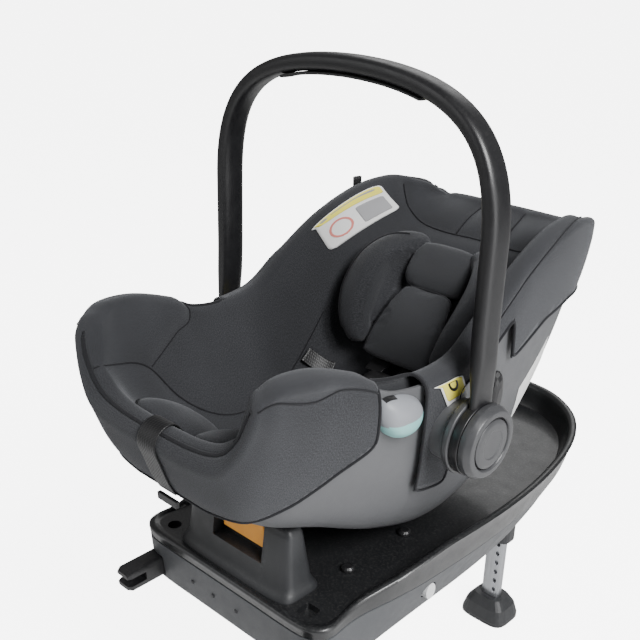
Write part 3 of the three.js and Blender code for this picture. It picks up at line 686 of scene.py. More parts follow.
def beyondHem(u, c, hem):
    stations = [p[0] for p in hem]
    return abs(c) > np.interp(u, stations, [p[1] for p in hem])


def coverPiece(name, settings, body):
    u0, u1 = settings["u"]
    c0, c1 = settings["c"]
    rows = int(round((u1 - u0) / settings["stepU"])) + 1
    columns = int(round((c1 - c0) / settings["stepC"])) + 1
    bm = bmesh.new()
    made = bmesh.ops.create_grid(bm, x_segments=rows - 1, y_segments=columns - 1, size=0.5)["verts"]
    for vert in made:
        vert.co = Vector((u0 + (vert.co.x + 0.5) * (u1 - u0), c0 + (vert.co.y + 0.5) * (c1 - c0), 0))
    cutHem(bm, settings["hem"])
    middles = [(face, face.calc_center_median()) for face in bm.faces]
    away = [face for face, at in middles if beyondHem(at.x, at.y, settings["hem"])]
    bmesh.ops.delete(bm, geom=away, context="FACES")
    layer = bm.loops.layers.uv.new("pattern")
    clothWidth, clothLength = settings["cloth"]
    for face in bm.faces:
        for loop in face.loops:
            loop[layer].uv = (loop.vert.co.y * clothWidth, loop.vert.co.x * clothLength)
    verts = bm.verts[:]
    flat = np.array([[v.co.x, v.co.y] for v in verts])
    target = placed(wrapPoint(flat[:, 0], flat[:, 1]))
    for vert, point in zip(verts, target):
        vert.co = point
    bmesh.ops.remove_doubles(bm, verts=bm.verts, dist=settings["merge"])
    bmesh.ops.recalc_face_normals(bm, faces=bm.faces)
    bm.normal_update()
    heart = Vector(placed(wrapPoint(0.5, 0.0)))
    middle = min(bm.faces, key=lambda f: (f.calc_center_median() - heart).length)
    if middle.normal.z < 0:
        bmesh.ops.reverse_faces(bm, faces=bm.faces)
    seams = settings["seams"] + settings["pairedSeams"]
    seams += [[(u, -c) for u, c in line] for line in settings["pairedSeams"]]
    lines = [placed(wrapPoint(*densify(line).T)) for line in seams]
    puffBetween(bm, np.concatenate(lines), settings["puff"] * mm, settings["puffWidth"] * mm)
    bmesh.ops.smooth_vert(bm, verts=[v for v in bm.verts if not v.is_boundary], factor=settings["ease"],
                          use_axis_x=True, use_axis_y=True, use_axis_z=True)
    hems = hemLines(bm)
    piece = finishPiece(name, bm, "charcoalKnit", body, settings["replaces"], recalc=False)
    pipingAlong(name + "Piping", piece, lines, *settings["piping"], body)
    hemPiece(name + "Hem", hems, body)
    addModifier(piece, "SOLIDIFY", thickness=settings["thick"] * mm, offset=-1, use_rim=True)


fewestHemPoints = 12


# Points of every open edge, walked in order.
def hemLines(bm):
    left = dict.fromkeys(e for e in bm.edges if e.is_boundary)
    lines = []
    while left:
        edge = next(iter(left))
        del left[edge]
        line = [edge.verts[0], edge.verts[1]]
        for forward in (True, False):
            while True:
                tip = line[-1] if forward else line[0]
                following = next((e for e in tip.link_edges if e in left), None)
                if following is None:
                    break
                del left[following]
                other = following.other_vert(tip)
                line = line + [other] if forward else [other] + line
        if len(line) > fewestHemPoints:
            lines.append(np.array([tuple(v.co) for v in line]))
    return lines


def hemPiece(name, lines, body):
    bm = bmesh.new()
    for line in lines:
        apart = np.concatenate([[0], np.cumsum(np.linalg.norm(np.diff(line, axis=0), axis=1))])
        even = np.linspace(0, apart[-1], max(8, int(apart[-1] / 0.005)))
        path = np.stack([np.interp(even, apart, line[:, k]) for k in range(3)], 1)
        path = smoothLine(path, 4)
        sweepBar(bm, path, cordAside, (2.0 * mm, 2.0 * mm), power=2.0, around=8, capSteps=2)
    return finishPiece(name, bm, "pipingKnit", body)


seatCover = {
    "u": (-0.036, 1.036), "c": (-3.0, 3.0), "stepU": 0.0068, "stepC": 0.0272,
    # lower hem, (u, c): it steps up past the wings, clears the belt guide, then drops to the flap
    "hem": [(-1, 3.2), (0.084, 3.2), (0.0841, 3.0), (0.094, 2.68), (0.12, 2.56), (0.148, 2.5),
            (0.178, 2.455), (0.241, 2.33), (0.29, 2.25), (0.313, 2.2), (0.3145, 1.3), (0.4, 1.3),
            (0.4015, 2.4), (0.456, 2.4), (0.4575, 2.05), (0.6, 2.05), (0.6015, 2.19), (0.626, 2.2),
            (0.7, 2.22), (0.786, 2.29), (0.845, 2.38), (0.885, 2.5), (0.9, 2.7), (0.908, 3.0),
            (0.9081, 3.2), (2, 3.2)],
    "seams": [
        [(-0.036, -1.0), (-0.036, -0.5), (-0.036, 0.0), (-0.036, 0.5), (-0.036, 1.0)],
        [(1.036, -1.0), (1.036, -0.5), (1.036, 0.0), (1.036, 0.5), (1.036, 1.0)],
        [(0.85, 0.98), (0.86, 0.6), (0.87, 0.2), (0.875, 0.0), (0.87, -0.2), (0.86, -0.6), (0.85, -0.98)],
    ],
    "pairedSeams": [  # each is also sewn on the other side
        [(-0.01, 1.9), (0.054, 1.98), (0.12, 2.03), (0.181, 2.04), (0.24, 1.98), (0.312, 1.95)],
        [(0.314, 1.28), (0.314, 0.97), (0.264, 0.84), (0.215, 0.715), (0.183, 0.64)],
        [(-0.03, 0.56), (0.03, 0.6), (0.09, 0.63), (0.141, 0.648), (0.183, 0.62), (0.229, 0.5),
         (0.305, 0.42), (0.4, 0.44), (0.5, 0.5), (0.6, 0.56)],
        [(0.56, 1.93), (0.603, 1.93), (0.66, 1.88), (0.72, 1.82), (0.8, 1.62), (0.88, 1.5), (0.95, 1.48),
         (1.005, 1.5)],
        [(0.875, 0.13), (0.95, 0.14), (1.03, 0.15)],
    ],
    "puff": 4.5, "puffWidth": 11.0, "ease": 0.3, "thick": 2.6, "merge": 3e-5,
    "cloth": (0.155, 0.62),  # metres of cloth for one c and one u
    "piping": (1.1, 0.5),  # radius and lift
    "replaces": ("foot_cover", "seat_padding", "head_cover"),
}
coverPiece("seatCover", seatCover, "carrier")
print("covers wrapped over the bucket")


shellLook = {"wall": 4.0, "rowsAlong": 90, "rowsAcross": 90,
             "boss": [(150, 34), (188, 38), (192.2, 38), (192.2, 0)]}


def buildShell():
    bm = bmesh.new()
    rows, columns = shellLook["rowsAlong"], shellLook["rowsAcross"]

    def pointsAt(i, j):
        return placed(shellFace(i / (rows - 1), -1 + 2 * j / (columns - 1)))

    gridOver(bm, rows, columns, pointsAt)
    bmesh.ops.recalc_face_normals(bm, faces=bm.faces)
    lowest = min(bm.faces, key=lambda f: f.calc_center_median().z)
    if lowest.normal.z > 0:
        bmesh.ops.reverse_faces(bm, faces=bm.faces)
    piece = finishPiece("bucketShell", bm, "shellGrey", "carrier", ("seat_shell",),
                        recalc=False)
    addModifier(piece, "SOLIDIFY", thickness=shellLook["wall"] * mm, offset=-1, use_rim=True)
    softEdges(piece, 1.2, 2, 60)


def buildHubBoss(side):
    bm = bmesh.new()
    profile = roundedProfile(shellLook["boss"], 3)
    turnedPart(bm, [(a * side, r) for a, r in profile], hinge, (1, 0, 0))
    finishPiece("hubBoss" + ("Right" if side > 0 else "Left"), bm, "shellGrey", "carrier", ())


buildShell()
for hubSide in (1, -1):
    buildHubBoss(hubSide)
print("bucket shell built")

# Backrest coordinates: x across, s up along the backrest, n out from it.
backrestFrame = {"foot": (135.0, -22.0), "up": (0.67, 0.742)}


def onBack(x, s, n):
    (y0, z0), (c, d) = backrestFrame["foot"], backrestFrame["up"]
    x, s, n = np.broadcast_arrays(np.asarray(x, float), np.asarray(s, float), np.asarray(n, float))
    return np.stack([x, y0 + c * s - d * n, z0 + d * s + c * n], -1)


def backPath(stations, fine=24):
    table = splineAt(np.array(stations, float), np.linspace(0, 1, fine))
    return placed(onBack(table[:, 0], table[:, 1], table[:, 2])), table[:, 3:] * mm


def patternUv(mesh):
    layer = mesh.uv_layers.get("pattern") or mesh.uv_layers.new(name="pattern")
    (y0, z0), (c, d) = backrestFrame["foot"], backrestFrame["up"]
    for loop in mesh.loops:
        x, y, z = (np.array(mesh.vertices[loop.vertex_index].co) - hinge) / mm
        s, n = c * (y - y0) + d * (z - z0), -d * (y - y0) + c * (z - z0)
        layer.data[loop.index].uv = ((x + 0.7 * n) * mm, (s + 0.3 * n) * mm)


def applied(piece):
    mesh = bpy.data.meshes.new_from_object(piece.evaluated_get(bpy.context.evaluated_depsgraph_get()))
    piece.modifiers.clear()
    old, piece.data = piece.data, mesh
    bpy.data.meshes.remove(old)
    return mesh


# Air is let into the closed pad; gravity is off and no point may move further than the cap.
def swell(piece, force, cap):
    cloth = piece.modifiers.new("swell", "CLOTH")
    cloth.settings.quality = 5
    cloth.settings.use_pressure = True
    cloth.settings.uniform_pressure_force = force
    cloth.settings.effector_weights.gravity = 0
    cloth.point_cache.frame_start, cloth.point_cache.frame_end = 1, 20
    for frameNumber in range(1, 21):
        scene.frame_set(frameNumber)
    got = piece.evaluated_get(bpy.context.evaluated_depsgraph_get()).data
    moves = [got.vertices[v.index].co - v.co for v in piece.data.vertices]
    piece.modifiers.clear()
    for vert, move in zip(piece.data.vertices, moves):
        vert.co += move if move.length < cap else move * (cap / move.length)
    scene.frame_set(1)


def padPiece(name, paths, look, body, replaces=()):
    bm = bmesh.new()
    for path, sizes in paths:
        sweepBar(bm, path, look.get("sideways", (1, 0, 0)), sizes, look["power"], 24,
                 look.get("cap", 1.0), 5)
    bmesh.ops.remove_doubles(bm, verts=bm.verts, dist=1e-6)
    bmesh.ops.recalc_face_normals(bm, faces=bm.faces)
    mesh = bpy.data.meshes.new(name)
    bm.to_mesh(mesh)
    bm.free()
    piece = bpy.data.objects.new(name, mesh)
    scene.collection.objects.link(piece)
    addModifier(piece, "REMESH", mode="VOXEL", voxel_size=look["voxel"] * mm)
    addModifier(piece, "SMOOTH", factor=0.5, iterations=look.get("smooth", 3))
    applied(piece)
    swell(piece, look["force"], look["cap mm"] * mm)
    mesh = piece.data
    mesh.materials.clear()
    mesh.materials.append(finishes[look["finish"]])
    patternUv(mesh)
    for polygon in mesh.polygons:
        polygon.use_smooth = True
    addModifier(piece, "SUBSURF", levels=1, render_levels=1)
    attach(piece, body)
    if replaces:
        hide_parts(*replaces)
    return piece


headrestLook = {
    "power": 3.4, "voxel": 4.0, "force": 4.0, "cap mm": 5.0, "fill": 0.7, "finish": "charcoalKnit",
    "cap": 1.0,
    # x, s, n, half width across, half depth off the backrest
    "wing": [[74, 6, 38, 14, 20], [84, 24, 44, 18, 27], [91, 48, 47, 20, 32], [94, 76, 48, 20, 33],
             [92, 102, 47, 19, 31], [83, 124, 43, 18, 27], [68, 142, 37, 17, 21],
             [52, 150, 33, 14, 16]],
    "plate": [[0, 30, 10.4, 64, 3.2], [0, 90, 10.4, 66, 3.2], [0, 142, 10.4, 62, 3.2]],
    "bridge": [[75, 34, 21, 15, 10], [76, 80, 21, 16, 10], [72, 126, 21, 15, 10]],
}
pillowLook = {
    "power": 4.0, "voxel": 3.6, "force": 4.0, "cap mm": 5.0, "fill": 0.7, "finish": "insertKnit",
    "cap": 0.8,
    "path": [[0, 98, 32, 46, 11], [0, 110, 33, 50, 14], [0, 136, 33, 51, 14], [0, 148, 33, 48, 12]],
}
insertLook = {
    "power": 4.5, "voxel": 3.6, "force": 3.5, "cap mm": 4.0, "fill": 0.5, "finish": "insertKnit",
    "cap": 0.9,
    "path": [[0, -12, 35, 53, 5.5], [0, 10, 35.4, 55, 6.4], [0, 40, 35.6, 53, 6.8],
             [0, 68, 35.6, 47, 6.4], [0, 88, 35, 39, 5.5]],
}
shoulderLook = {
    "power": 3.5, "voxel": 3.0, "force": 2.5, "cap mm": 1.5, "fill": 0.5, "finish": "insertKnit",
    "cap": 0.8,
    "path": [[36, 80, 22.6, 14.5, 2.6], [34, 50, 22.6, 15, 2.6], [31, 18, 22.4, 15, 2.6],
             [27, -11, 22.3, 14.5, 2.6]],
}


def mirroredPath(stations):
    return [[-row[0]] + row[1:] for row in stations]


def buildHeadrest():
    look = headrestLook
    paths = [backPath(look["plate"])]
    for flip in (False, True):
        for part in ("wing", "bridge"):
            paths.append(backPath(mirroredPath(look[part]) if flip else look[part]))
    piece = padPiece("headrestBolster", paths, look, "headrest_body", ("headrest",))
    lines = []
    for side in (1, -1):
        edge = [[side * (x + 0.86 * hx), s, n + 0.8 * hn] for x, s, n, hx, hn in look["wing"]]
        table = splineAt(np.array(edge, float), np.linspace(0, 1, 30))
        lines.append(placed(onBack(table[:, 0], table[:, 1], table[:, 2])))
    pipingAlong("headrestPiping", piece, lines, 1.4, 0.8, "headrest_body")


def buildPad(name, look, body, node, key="path", flip=False):
    stations = mirroredPath(look[key]) if flip else look[key]
    return padPiece(name, [backPath(stations)], look, body, (node,))


def seamRound(look, inset=1.0, height=0.0):
    right = [[x + hx * inset, s, n + height] for x, s, n, hx, _ in look["path"]]
    left = [[x - hx * inset, s, n + height] for x, s, n, hx, _ in look["path"][::-1]]
    table = splineAt(np.array(right + left, float), np.linspace(0, 1, 70))
    return placed(onBack(table[:, 0], table[:, 1], table[:, 2]))


buildHeadrest()
buildPad("headPillow", pillowLook, "headrest_body", "head_pillow")
insertPad = buildPad("bodyInsert", insertLook, "carrier", "body_insert")
pipingAlong("bodyInsertPiping", insertPad, [seamRound(insertLook, 0.98, 3.0)], 1.1, 0.6, "carrier")
buildPad("shoulderPadRight", shoulderLook, "carrier", "shoulder_pad_right")
buildPad("shoulderPadLeft", shoulderLook, "carrier", "shoulder_pad_left", flip=True)
print("headrest and harness pads stuffed")

crotchLook = {
    "power": 3.4, "voxel": 3.2, "force": 3.0, "cap mm": 2.5, "fill": 0.6, "finish": "insertKnit",
    "cap": 0.9,
    "line": [[0, -22, -67.4, 17, 4.2], [0, 0, -58.2, 18.5, 4.8], [0, 22, -49.0, 18.5, 4.8],
             [0, 40, -41.4, 17, 4.2]],
}


def buildCrotchPad():
    table = splineAt(np.array(crotchLook["line"], float), np.linspace(0, 1, 20))
    path = placed(table[:, :3])
    piece = padPiece("crotchPad", [(path, table[:, 3:] * mm)], crotchLook, "carrier", ("crotch_pad",))
    return piece


buildCrotchPad()


# Low stuffed lens lying on the lining, on the flat pattern's own coordinates.
adjusterLook = {
    "far": {"u": 0.15, "v": -0.23, "halfU": 0.095, "halfV": 0.22, "height": 28, "turn": -0.5},
    "near": {"u": 0.078, "v": 0.26, "halfU": 0.066, "halfV": 0.22, "height": 34, "turn": 0.3},
}


lensShape = {
    "around": 48, "rings": 12, "underRings": 4, "power": 2.3, "crown": (2.4, 0.7), "cloth": (0.03, 0.05),
}


def lensPad(name, look, body, replaces=()):
    bm = bmesh.new()
    around, rings = lensShape["around"], lensShape["rings"]
    under = lensShape["underRings"]
    radii = np.array([i / rings for i in range(rings + 1)] + [1 - i / under for i in range(1, under + 1)])
    bulge, soften = lensShape["crown"]

    def pointsAt(row, column):
        r = radii[row]
        a, b = superRound(2 * math.pi * (column % around) / around, lensShape["power"])
        a, b = a * r, b * r
        c, s = math.cos(look["turn"]), math.sin(look["turn"])
        u = look["u"] + look["halfU"] * (a * c - b * s)
        v = look["v"] + look["halfV"] * (a * s + b * c)
        crown = look["height"] * np.maximum(1 - r ** bulge, 0) ** soften
        return placed(layerOf(padFace, u, v, np.where(row <= rings, -crown - 1.0, 1.0)))

    def uvAt(row, column):
        r = radii[row]
        angle = 2 * math.pi * (column % around) / around
        return np.stack([np.cos(angle) * r, np.sin(angle) * r], 1) * lensShape["cloth"]

    gridOver(bm, len(radii), around + 1, pointsAt, uvAt)
    finishPiece(name, bm, "charcoalKnit", body, replaces)


lensPad("adjusterFlapFar", adjusterLook["far"], "carrier", ("adjuster_flap",))
lensPad("adjusterFlapNear", adjusterLook["near"], "carrier")
print("adjuster flaps made")

webbingLook = {
    "halfThick": 0.9, "power": 6.0, "standOff": 2.4, "lapDepth": -4.4,
    "shoulder": [[25, -14, 23], [24.6, -20, 25], [24.4, -26, 28.5], [24, -33, 32]],  # x, s, n
    "lap": [[0.53, 0.5], [0.546, 0.42], [0.562, 0.32]],  # u, v
    "crotch": [[29, -92], [33, -84], [38, -76], [44, -68]],  # y, z
    "halfWidths": {"shoulder": 13.5, "lap": 11.0, "crotch": 14.0, "adjuster": 15.0},
    # stretches of the adjuster strap in the flat pattern: c, first u, last u, points
    "adjuster": [(0.0, 0.085, -0.006, 14), (0.0, -0.01, -0.035, 6), (3.0, -0.034, -0.01, 6),
                 (3.0, -0.004, 0.086, 16)],
}


def webbingPiece(name, path, sideways, strap, node):
    bm = bmesh.new()
    sizes = (webbingLook["halfWidths"][strap] * mm, webbingLook["halfThick"] * mm)
    sweepBar(bm, path, sideways, sizes, webbingLook["power"], 20, 0.8, 2)
    finishPiece(name, bm, "blackWebbing", "carrier", (node,))


def strapLine(strap, points):
    return splineAt(np.array(webbingLook[strap], float), np.linspace(0, 1, points)).T


def buildHarnessStraps():
    for side, label in ((1, "Right"), (-1, "Left")):
        node = label.lower()
        x, s, n = strapLine("shoulder", 14)
        webbingPiece("shoulderStrap" + label, placed(onBack(x * side, s, n)), (1, 0, 0), "shoulder",
                     "shoulder_strap_" + node)
        u, v = strapLine("lap", 16)
        path = placed(layerOf(padFace, u, v * side, np.full(16, webbingLook["lapDepth"])))
        along = unit(placed(padFace(u + 0.01, v * side)) - placed(padFace(u, v * side)))
        webbingPiece("lapStrap" + label, path, along, "lap", "lap_strap_" + node)
    y, z = strapLine("crotch", 12)
    webbingPiece("crotchStrap", placed(np.stack([y * 0, y, z], 1)), (1, 0, 0), "crotch", "crotch_strap")


def buildAdjusterWebbing():
    flat = []
    for c, first, last, count in webbingLook["adjuster"]:
        flat += [(u, c) for u in np.linspace(first, last, count)]
    path = smoothLine(wrapPoint(*np.array(flat).T), 4)
    along = unit(np.gradient(path, axis=0))
    out = np.stack([np.zeros(len(path)), -along[:, 2], along[:, 1]], 1)
    if out[0, 2] < 0:
        out = -out
    path = placed(path + out * webbingLook["standOff"])
    webbingPiece("adjusterWebbing", path, (1, 0, 0), "adjuster", "adjuster_webbing")


buildHarnessStraps()
buildAdjusterWebbing()
print("webbing laid")

handleLook = {
    "lean": 2.4,  # degrees towards the head end
    "leg": [[209.4, 0], [209.4, 30], [208.6, 58], [206.5, 88], [204.5, 125], [203.5, 170], [202.5, 218]],
    "crown": [[202.5, 218], [199, 318], [150, 362], [0, 363]],
    "discProfile": [(203.4, 0), (203.4, 43.2), (215, 44), (215.1, 0)],
    "gripReach": 105.0, "gripWidth": 12.5, "gripThick": 1.9,
}


def smoothStep(value, low, high):
    t = np.clip((value - low) / (high - low), 0, 1)
    return t * t * (3 - 2 * t)


def archStations():
    leg = splineAt(np.array(handleLook["leg"], float), np.linspace(0, 1, 40))
    t = np.linspace(0, 1, 48)[1:, None]
    a, b, c, d = (np.array(p, float) for p in handleLook["crown"])
    crown = a * (1 - t) ** 3 + 3 * b * t * (1 - t) ** 2 + 3 * c * t * t * (1 - t) + d * t ** 3
    half = np.concatenate([leg, crown])
    return np.concatenate([half, half[-2::-1] * [-1, 1]])


def archPath(offset=0.0):
    flat = archStations()
    along = unit(np.gradient(flat, axis=0))
    flat = flat + np.stack([along[:, 1], -along[:, 0]], 1) * np.asarray(offset, float).reshape(-1, 1)
    lean = math.radians(handleLook["lean"])
    return np.stack([flat[:, 0], flat[:, 1] * math.sin(lean), flat[:, 1] * math.cos(lean)],
                    1), archStations()[:, 1]


def archSizes(height):
    grow, top = smoothStep(height, 46, 96), smoothStep(height, 230, 355)
    return np.stack([17.5 - 2.5 * top, 5.8 + 4.2 * grow - 0.6 * top], 1)


def buildHandle():
    lean = math.radians(handleLook["lean"])
    sideways = (0, math.cos(lean), -math.sin(lean))
    path, height = archPath()
    bm = bmesh.new()
    sweepBar(bm, placed(path), sideways, archSizes(height) * mm, 3.0, 32, 0.2, 2)
    for side in (1, -1):
        profile = roundedProfile([(a * side, r) for a, r in handleLook["discProfile"]], 1.6)
        turnedPart(bm, profile, hinge, (1, 0, 0), 72)
    finishPiece("carryHandle", bm, "satinBlack", "handle", ("handle_arch",))
    keep = np.abs(path[:, 0]) < handleLook["gripReach"]
    under, _ = archPath(-(archSizes(height)[:, 1] + 2.1))
    bm = bmesh.new()
    sweepBar(bm, placed(under[keep]), sideways, (handleLook["gripWidth"] * mm,
                                                 handleLook["gripThick"] * mm), 3.0, 20, 1.0, 3)
    finishPiece("handleGrip", bm, "gripBlack", "handle", ("handle_grip",))


hubLook = {
    "housing": [(192.3, 0), (192.3, 42), (195, 46), (203, 46), (203.1, 0)],
    "cap": [(215.3, 0), (215.3, 43), (223, 43.4), (231.0, 39.4), (231.4, 32.5), (228.8, 30.9),
            (225.2, 30.6), (225, 0)],
    "button": [(228, 0), (228.2, 29.4), (230.2, 29.4), (231.6, 25), (231.8, 18), (231.0, 16.5),
               (230.8, 0)],
}


def buildHubs():
    for side, label in ((1, "Right"), (-1, "Left")):
        node = label.lower()
        for part, body, replaced, radius in (
                ("housing", "carrier", "hub_housing_", 2.2), ("cap", "handle", "hub_cap_", 1.6),
                ("button", "handle_button_" + node + "_body", "handle_button_", 1.2)):
            bm = bmesh.new()
            profile = roundedProfile([(a * side, r) for a, r in hubLook[part]], radius, 5)
            turnedPart(bm, profile, hinge, (1, 0, 0), 80)
            finishPiece("hub" + part.capitalize() + label, bm, "hubGrey", body, (replaced + node,))


buildHandle()
buildHubs()
print("handle and hubs turned")

# Outlines of the base: half width and place along it, at the rim and at the floor.
baseLook = {
    "rim": [[0, -210], [60, -210], [122, -210], [148, -206], [161, -196], [165, -182], [163, -164],
            [162, -146], [164, -126], [170, -104], [177, -80], [185, -40], [190, 10], [193, 70],
            [193, 130], [189, 190], [181, 245], [168, 300], [148, 350], [120, 392], [84, 422],
            [44, 440], [0, 446]],
    "floor": [[0, -205], [60, -205], [122, -205], [148, -202], [159, -194], [162, -180], [161, -160],
              [160, -143], [160, -124], [159, -104], [158, -80], [157, -40], [156, 10], [155, 70],
              [152, 130], [146, 190], [137, 245], [126, 300], [112, 350], [92, 392], [66, 420],
              [36, 434], [0, 438]],
    "deck": -192.0, "perSide": 110, "spread": (190, 328), "centreY": 118,
    "rimRise": (-189, 33, -185, 20),  # lowest rim, how far it climbs, and where it starts and stops
    # pockets in the deck: x, y, radius, corners, squareness
    "pockets": [(-128, -180, 9, 32, 2.0), (122, -180, 11, 32, 6.0)], "pocketDepth": 9,
    "slotX": 140, "slotHalf": 14.8, "slotY": (-226, -168), "slotZ": (-261.8, -230.2),
    "buttonHole": [(150, 0), (150, 12.5), (200, 12.5), (200, 0)], "buttonAt": (0, -11, -233),
    "edge": (0.7, 2, 50),  # width, steps and angle of the softened edges
}


def rimHeight(y):
    lowest, climb, start, stop = baseLook["rimRise"]
    return lowest + climb * smoothStep(y, start, stop)


def baseRing(blend, inset, height):
    t = np.linspace(0, 1, baseLook["perSide"])
    rim, floor = (splineAt(np.array(baseLook[key], float), t) for key in ("rim", "floor"))
    right = floor + (rim - floor) * blend
    across, along = baseLook["spread"]
    right = right * [1 - inset / across, 1 - inset / along] + [0, baseLook["centreY"] * inset / along]
    ring = np.concatenate([right, right[-2:0:-1] * [-1, 1]])
    z = height(ring[:, 1]) if callable(height) else np.full(len(ring), float(height))
    return placed(np.column_stack([ring, z]))


def carve(piece, cutters):
    for cutter in cutters:
        bm = bmesh.new()
        cutter(bm)
        bmesh.ops.recalc_face_normals(bm, faces=bm.faces)
        mesh = bpy.data.meshes.new("tool")
        bm.to_mesh(mesh)
        bm.free()
        tool = bpy.data.objects.new("tool", mesh)
        scene.collection.objects.link(tool)
        addModifier(piece, "BOOLEAN", operation="DIFFERENCE", object=tool, solver="EXACT")
        bpy.context.view_layer.update()
        applied(piece)
        bpy.data.objects.remove(tool)
        bpy.data.meshes.remove(mesh)


def postCutter(top, x, y, radius, corners, squareness):
    def build(bm):
        angle = 2 * math.pi * np.arange(corners) / corners
        a, b = superRound(angle, squareness)
        ring = np.column_stack([x + radius * a, y + radius * b])
        heights = (top - baseLook["pocketDepth"], top + 12)
        ringSkin(bm, [placed(np.column_stack([ring, np.full(corners, z)])) for z in heights])
    return build


def blockCutter(lowCorner, highCorner):
    def build(bm):
        made = bmesh.ops.create_cube(bm, size=1.0)["verts"]
        low, high = np.array(lowCorner, float), np.array(highCorner, float)
        centre, size = placed((low + high) / 2), (high - low) * mm
        for vert in made:
            vert.co = Vector(centre + np.array(vert.co) * size)
    return build


def buildTray():
    deck = baseLook["deck"]
    rings = [
        baseRing(0.64, 3, -205.6), baseRing(0.66, 0.5, -204.6),
        baseRing(0.72, 0, lambda y: -204 + 0.2 * (rimHeight(y) + 204)),
        baseRing(0.82, 0, lambda y: -204 + 0.55 * (rimHeight(y) + 204)),
        baseRing(0.93, 0, lambda y: rimHeight(y) - 5.5),
        baseRing(0.985, 0.4, lambda y: rimHeight(y) - 2.4),
        baseRing(1, 2.2, lambda y: rimHeight(y) - 0.5),
        baseRing(1, 5, rimHeight), baseRing(1, 8, lambda y: rimHeight(y) - 0.6),
        baseRing(0.99, 10.4, lambda y: rimHeight(y) - 2.4),
        baseRing(0.97, 12, lambda y: np.maximum(rimHeight(y) - 6, deck + 0.3)),
        baseRing(0.95, 14, lambda y: np.maximum(rimHeight(y) - 16, deck + 0.2)),
        baseRing(0.92, 16.5, lambda y: np.maximum(rimHeight(y) - 28, deck + 0.1)),
        baseRing(0.9, 20, deck), baseRing(0.9, 24, deck),
    ]
    bm = bmesh.new()
    ringSkin(bm, rings)
    piece = finishPiece("baseTray", bm, "baseGloss", "base", ("base_cover",))
    carve(piece, [postCutter(deck, *pocket) for pocket in baseLook["pockets"]])
    softEdges(piece, *baseLook["edge"])


def buttonCutter(side):
    def build(bm):
        profile = [(side * x, radius) for x, radius in baseLook["buttonHole"]]
        turnedPart(bm, profile, placed(baseLook["buttonAt"]), (1, 0, 0), 40)
    return build


def buildTub():
    rings = [baseRing(0, 9, -270), baseRing(0, 5, -269.6), baseRing(0.01, 1.8, -267),
             baseRing(0.04, 0.8, -262), baseRing(0.2, 0, -245),
             baseRing(0.36, 0, -231), baseRing(0.5, 0, -218), baseRing(0.61, 0, -207.4),
             baseRing(0.62, 2, -206.4)]
    bm = bmesh.new()
    ringSkin(bm, rings)
    piece = finishPiece("baseTub", bm, "wallSlate", "base", ("base_housing",))
    cutters = []
    (nearY, farY), (lowZ, highZ) = baseLook["slotY"], baseLook["slotZ"]
    for side in (1, -1):
        middle, half = side * baseLook["slotX"], baseLook["slotHalf"]
        cutters.append(blockCutter((middle - half, nearY, lowZ), (middle + half, farY, highZ)))
    carve(piece, cutters + [buttonCutter(1), buttonCutter(-1)])
    softEdges(piece, *baseLook["edge"])


buildTray()
buildTub()
print("base tray and tub built")

towerLook = {
    # z, half width, front y, back y
    "rings": [[-191.9, 101, -200, -131], [-189, 101, -200, -131], [-184, 98, -195, -134],
              [-175, 94, -190, -138], [-150, 91, -186, -141], [-114, 88, -180, -146],
              [-106, 86, -177.5, -148.5], [-102.5, 82, -174, -152]],
    "power": 5.5, "window": [(-38, -215, -158), (50, -167.6, -110)], "edge": (2.0, 3, 50),
}


def buildTower():
    angle = 2 * math.pi * np.arange(96) / 96
    a, b = superRound(angle, towerLook["power"])
    rings = [placed(np.column_stack([halfWidth * a, (front + back) / 2 + (back - front) / 2 * b,
                                     np.full(96, z)]))
             for z, halfWidth, front, back in towerLook["rings"]]
    bm = bmesh.new()
    ringSkin(bm, rings)
    piece = finishPiece("frontTower", bm, "baseDark", "base", ("front_tower",))
    carve(piece, [blockCutter(*towerLook["window"])])
    softEdges(piece, *towerLook["edge"])


buildTower()

crossLook = {
    "arm": 6.0, "deep": 1.6, "thick": 1.3, "bevel": 0.25, "y": -207.6, "z": -236, "across": (-62, -22, 22),
}


def buildFrontCrosses():
    bm = bmesh.new()
    for x in crossLook["across"]:
        for lean in (45, -45):
            made = bmesh.ops.create_cube(bm, size=1.0)["verts"]
            size = Vector((crossLook["arm"], crossLook["deep"], crossLook["thick"])) * mm
            bmesh.ops.scale(bm, verts=made, vec=size)
            turn = Matrix.Rotation(math.radians(lean), 3, "Y")
            bmesh.ops.rotate(bm, verts=made, cent=(0, 0, 0), matrix=turn)
            bmesh.ops.translate(bm, verts=made, vec=Vector(placed((x, crossLook["y"], crossLook["z"]))))
    bmesh.ops.bevel(bm, geom=bm.edges[:], offset=crossLook["bevel"] * mm, affect="EDGES", segments=1,
                    profile=0.5, material=-1)
    finishPiece("frontCrosses", bm, "baseDark", "base", (), smooth=False)


buildFrontCrosses()

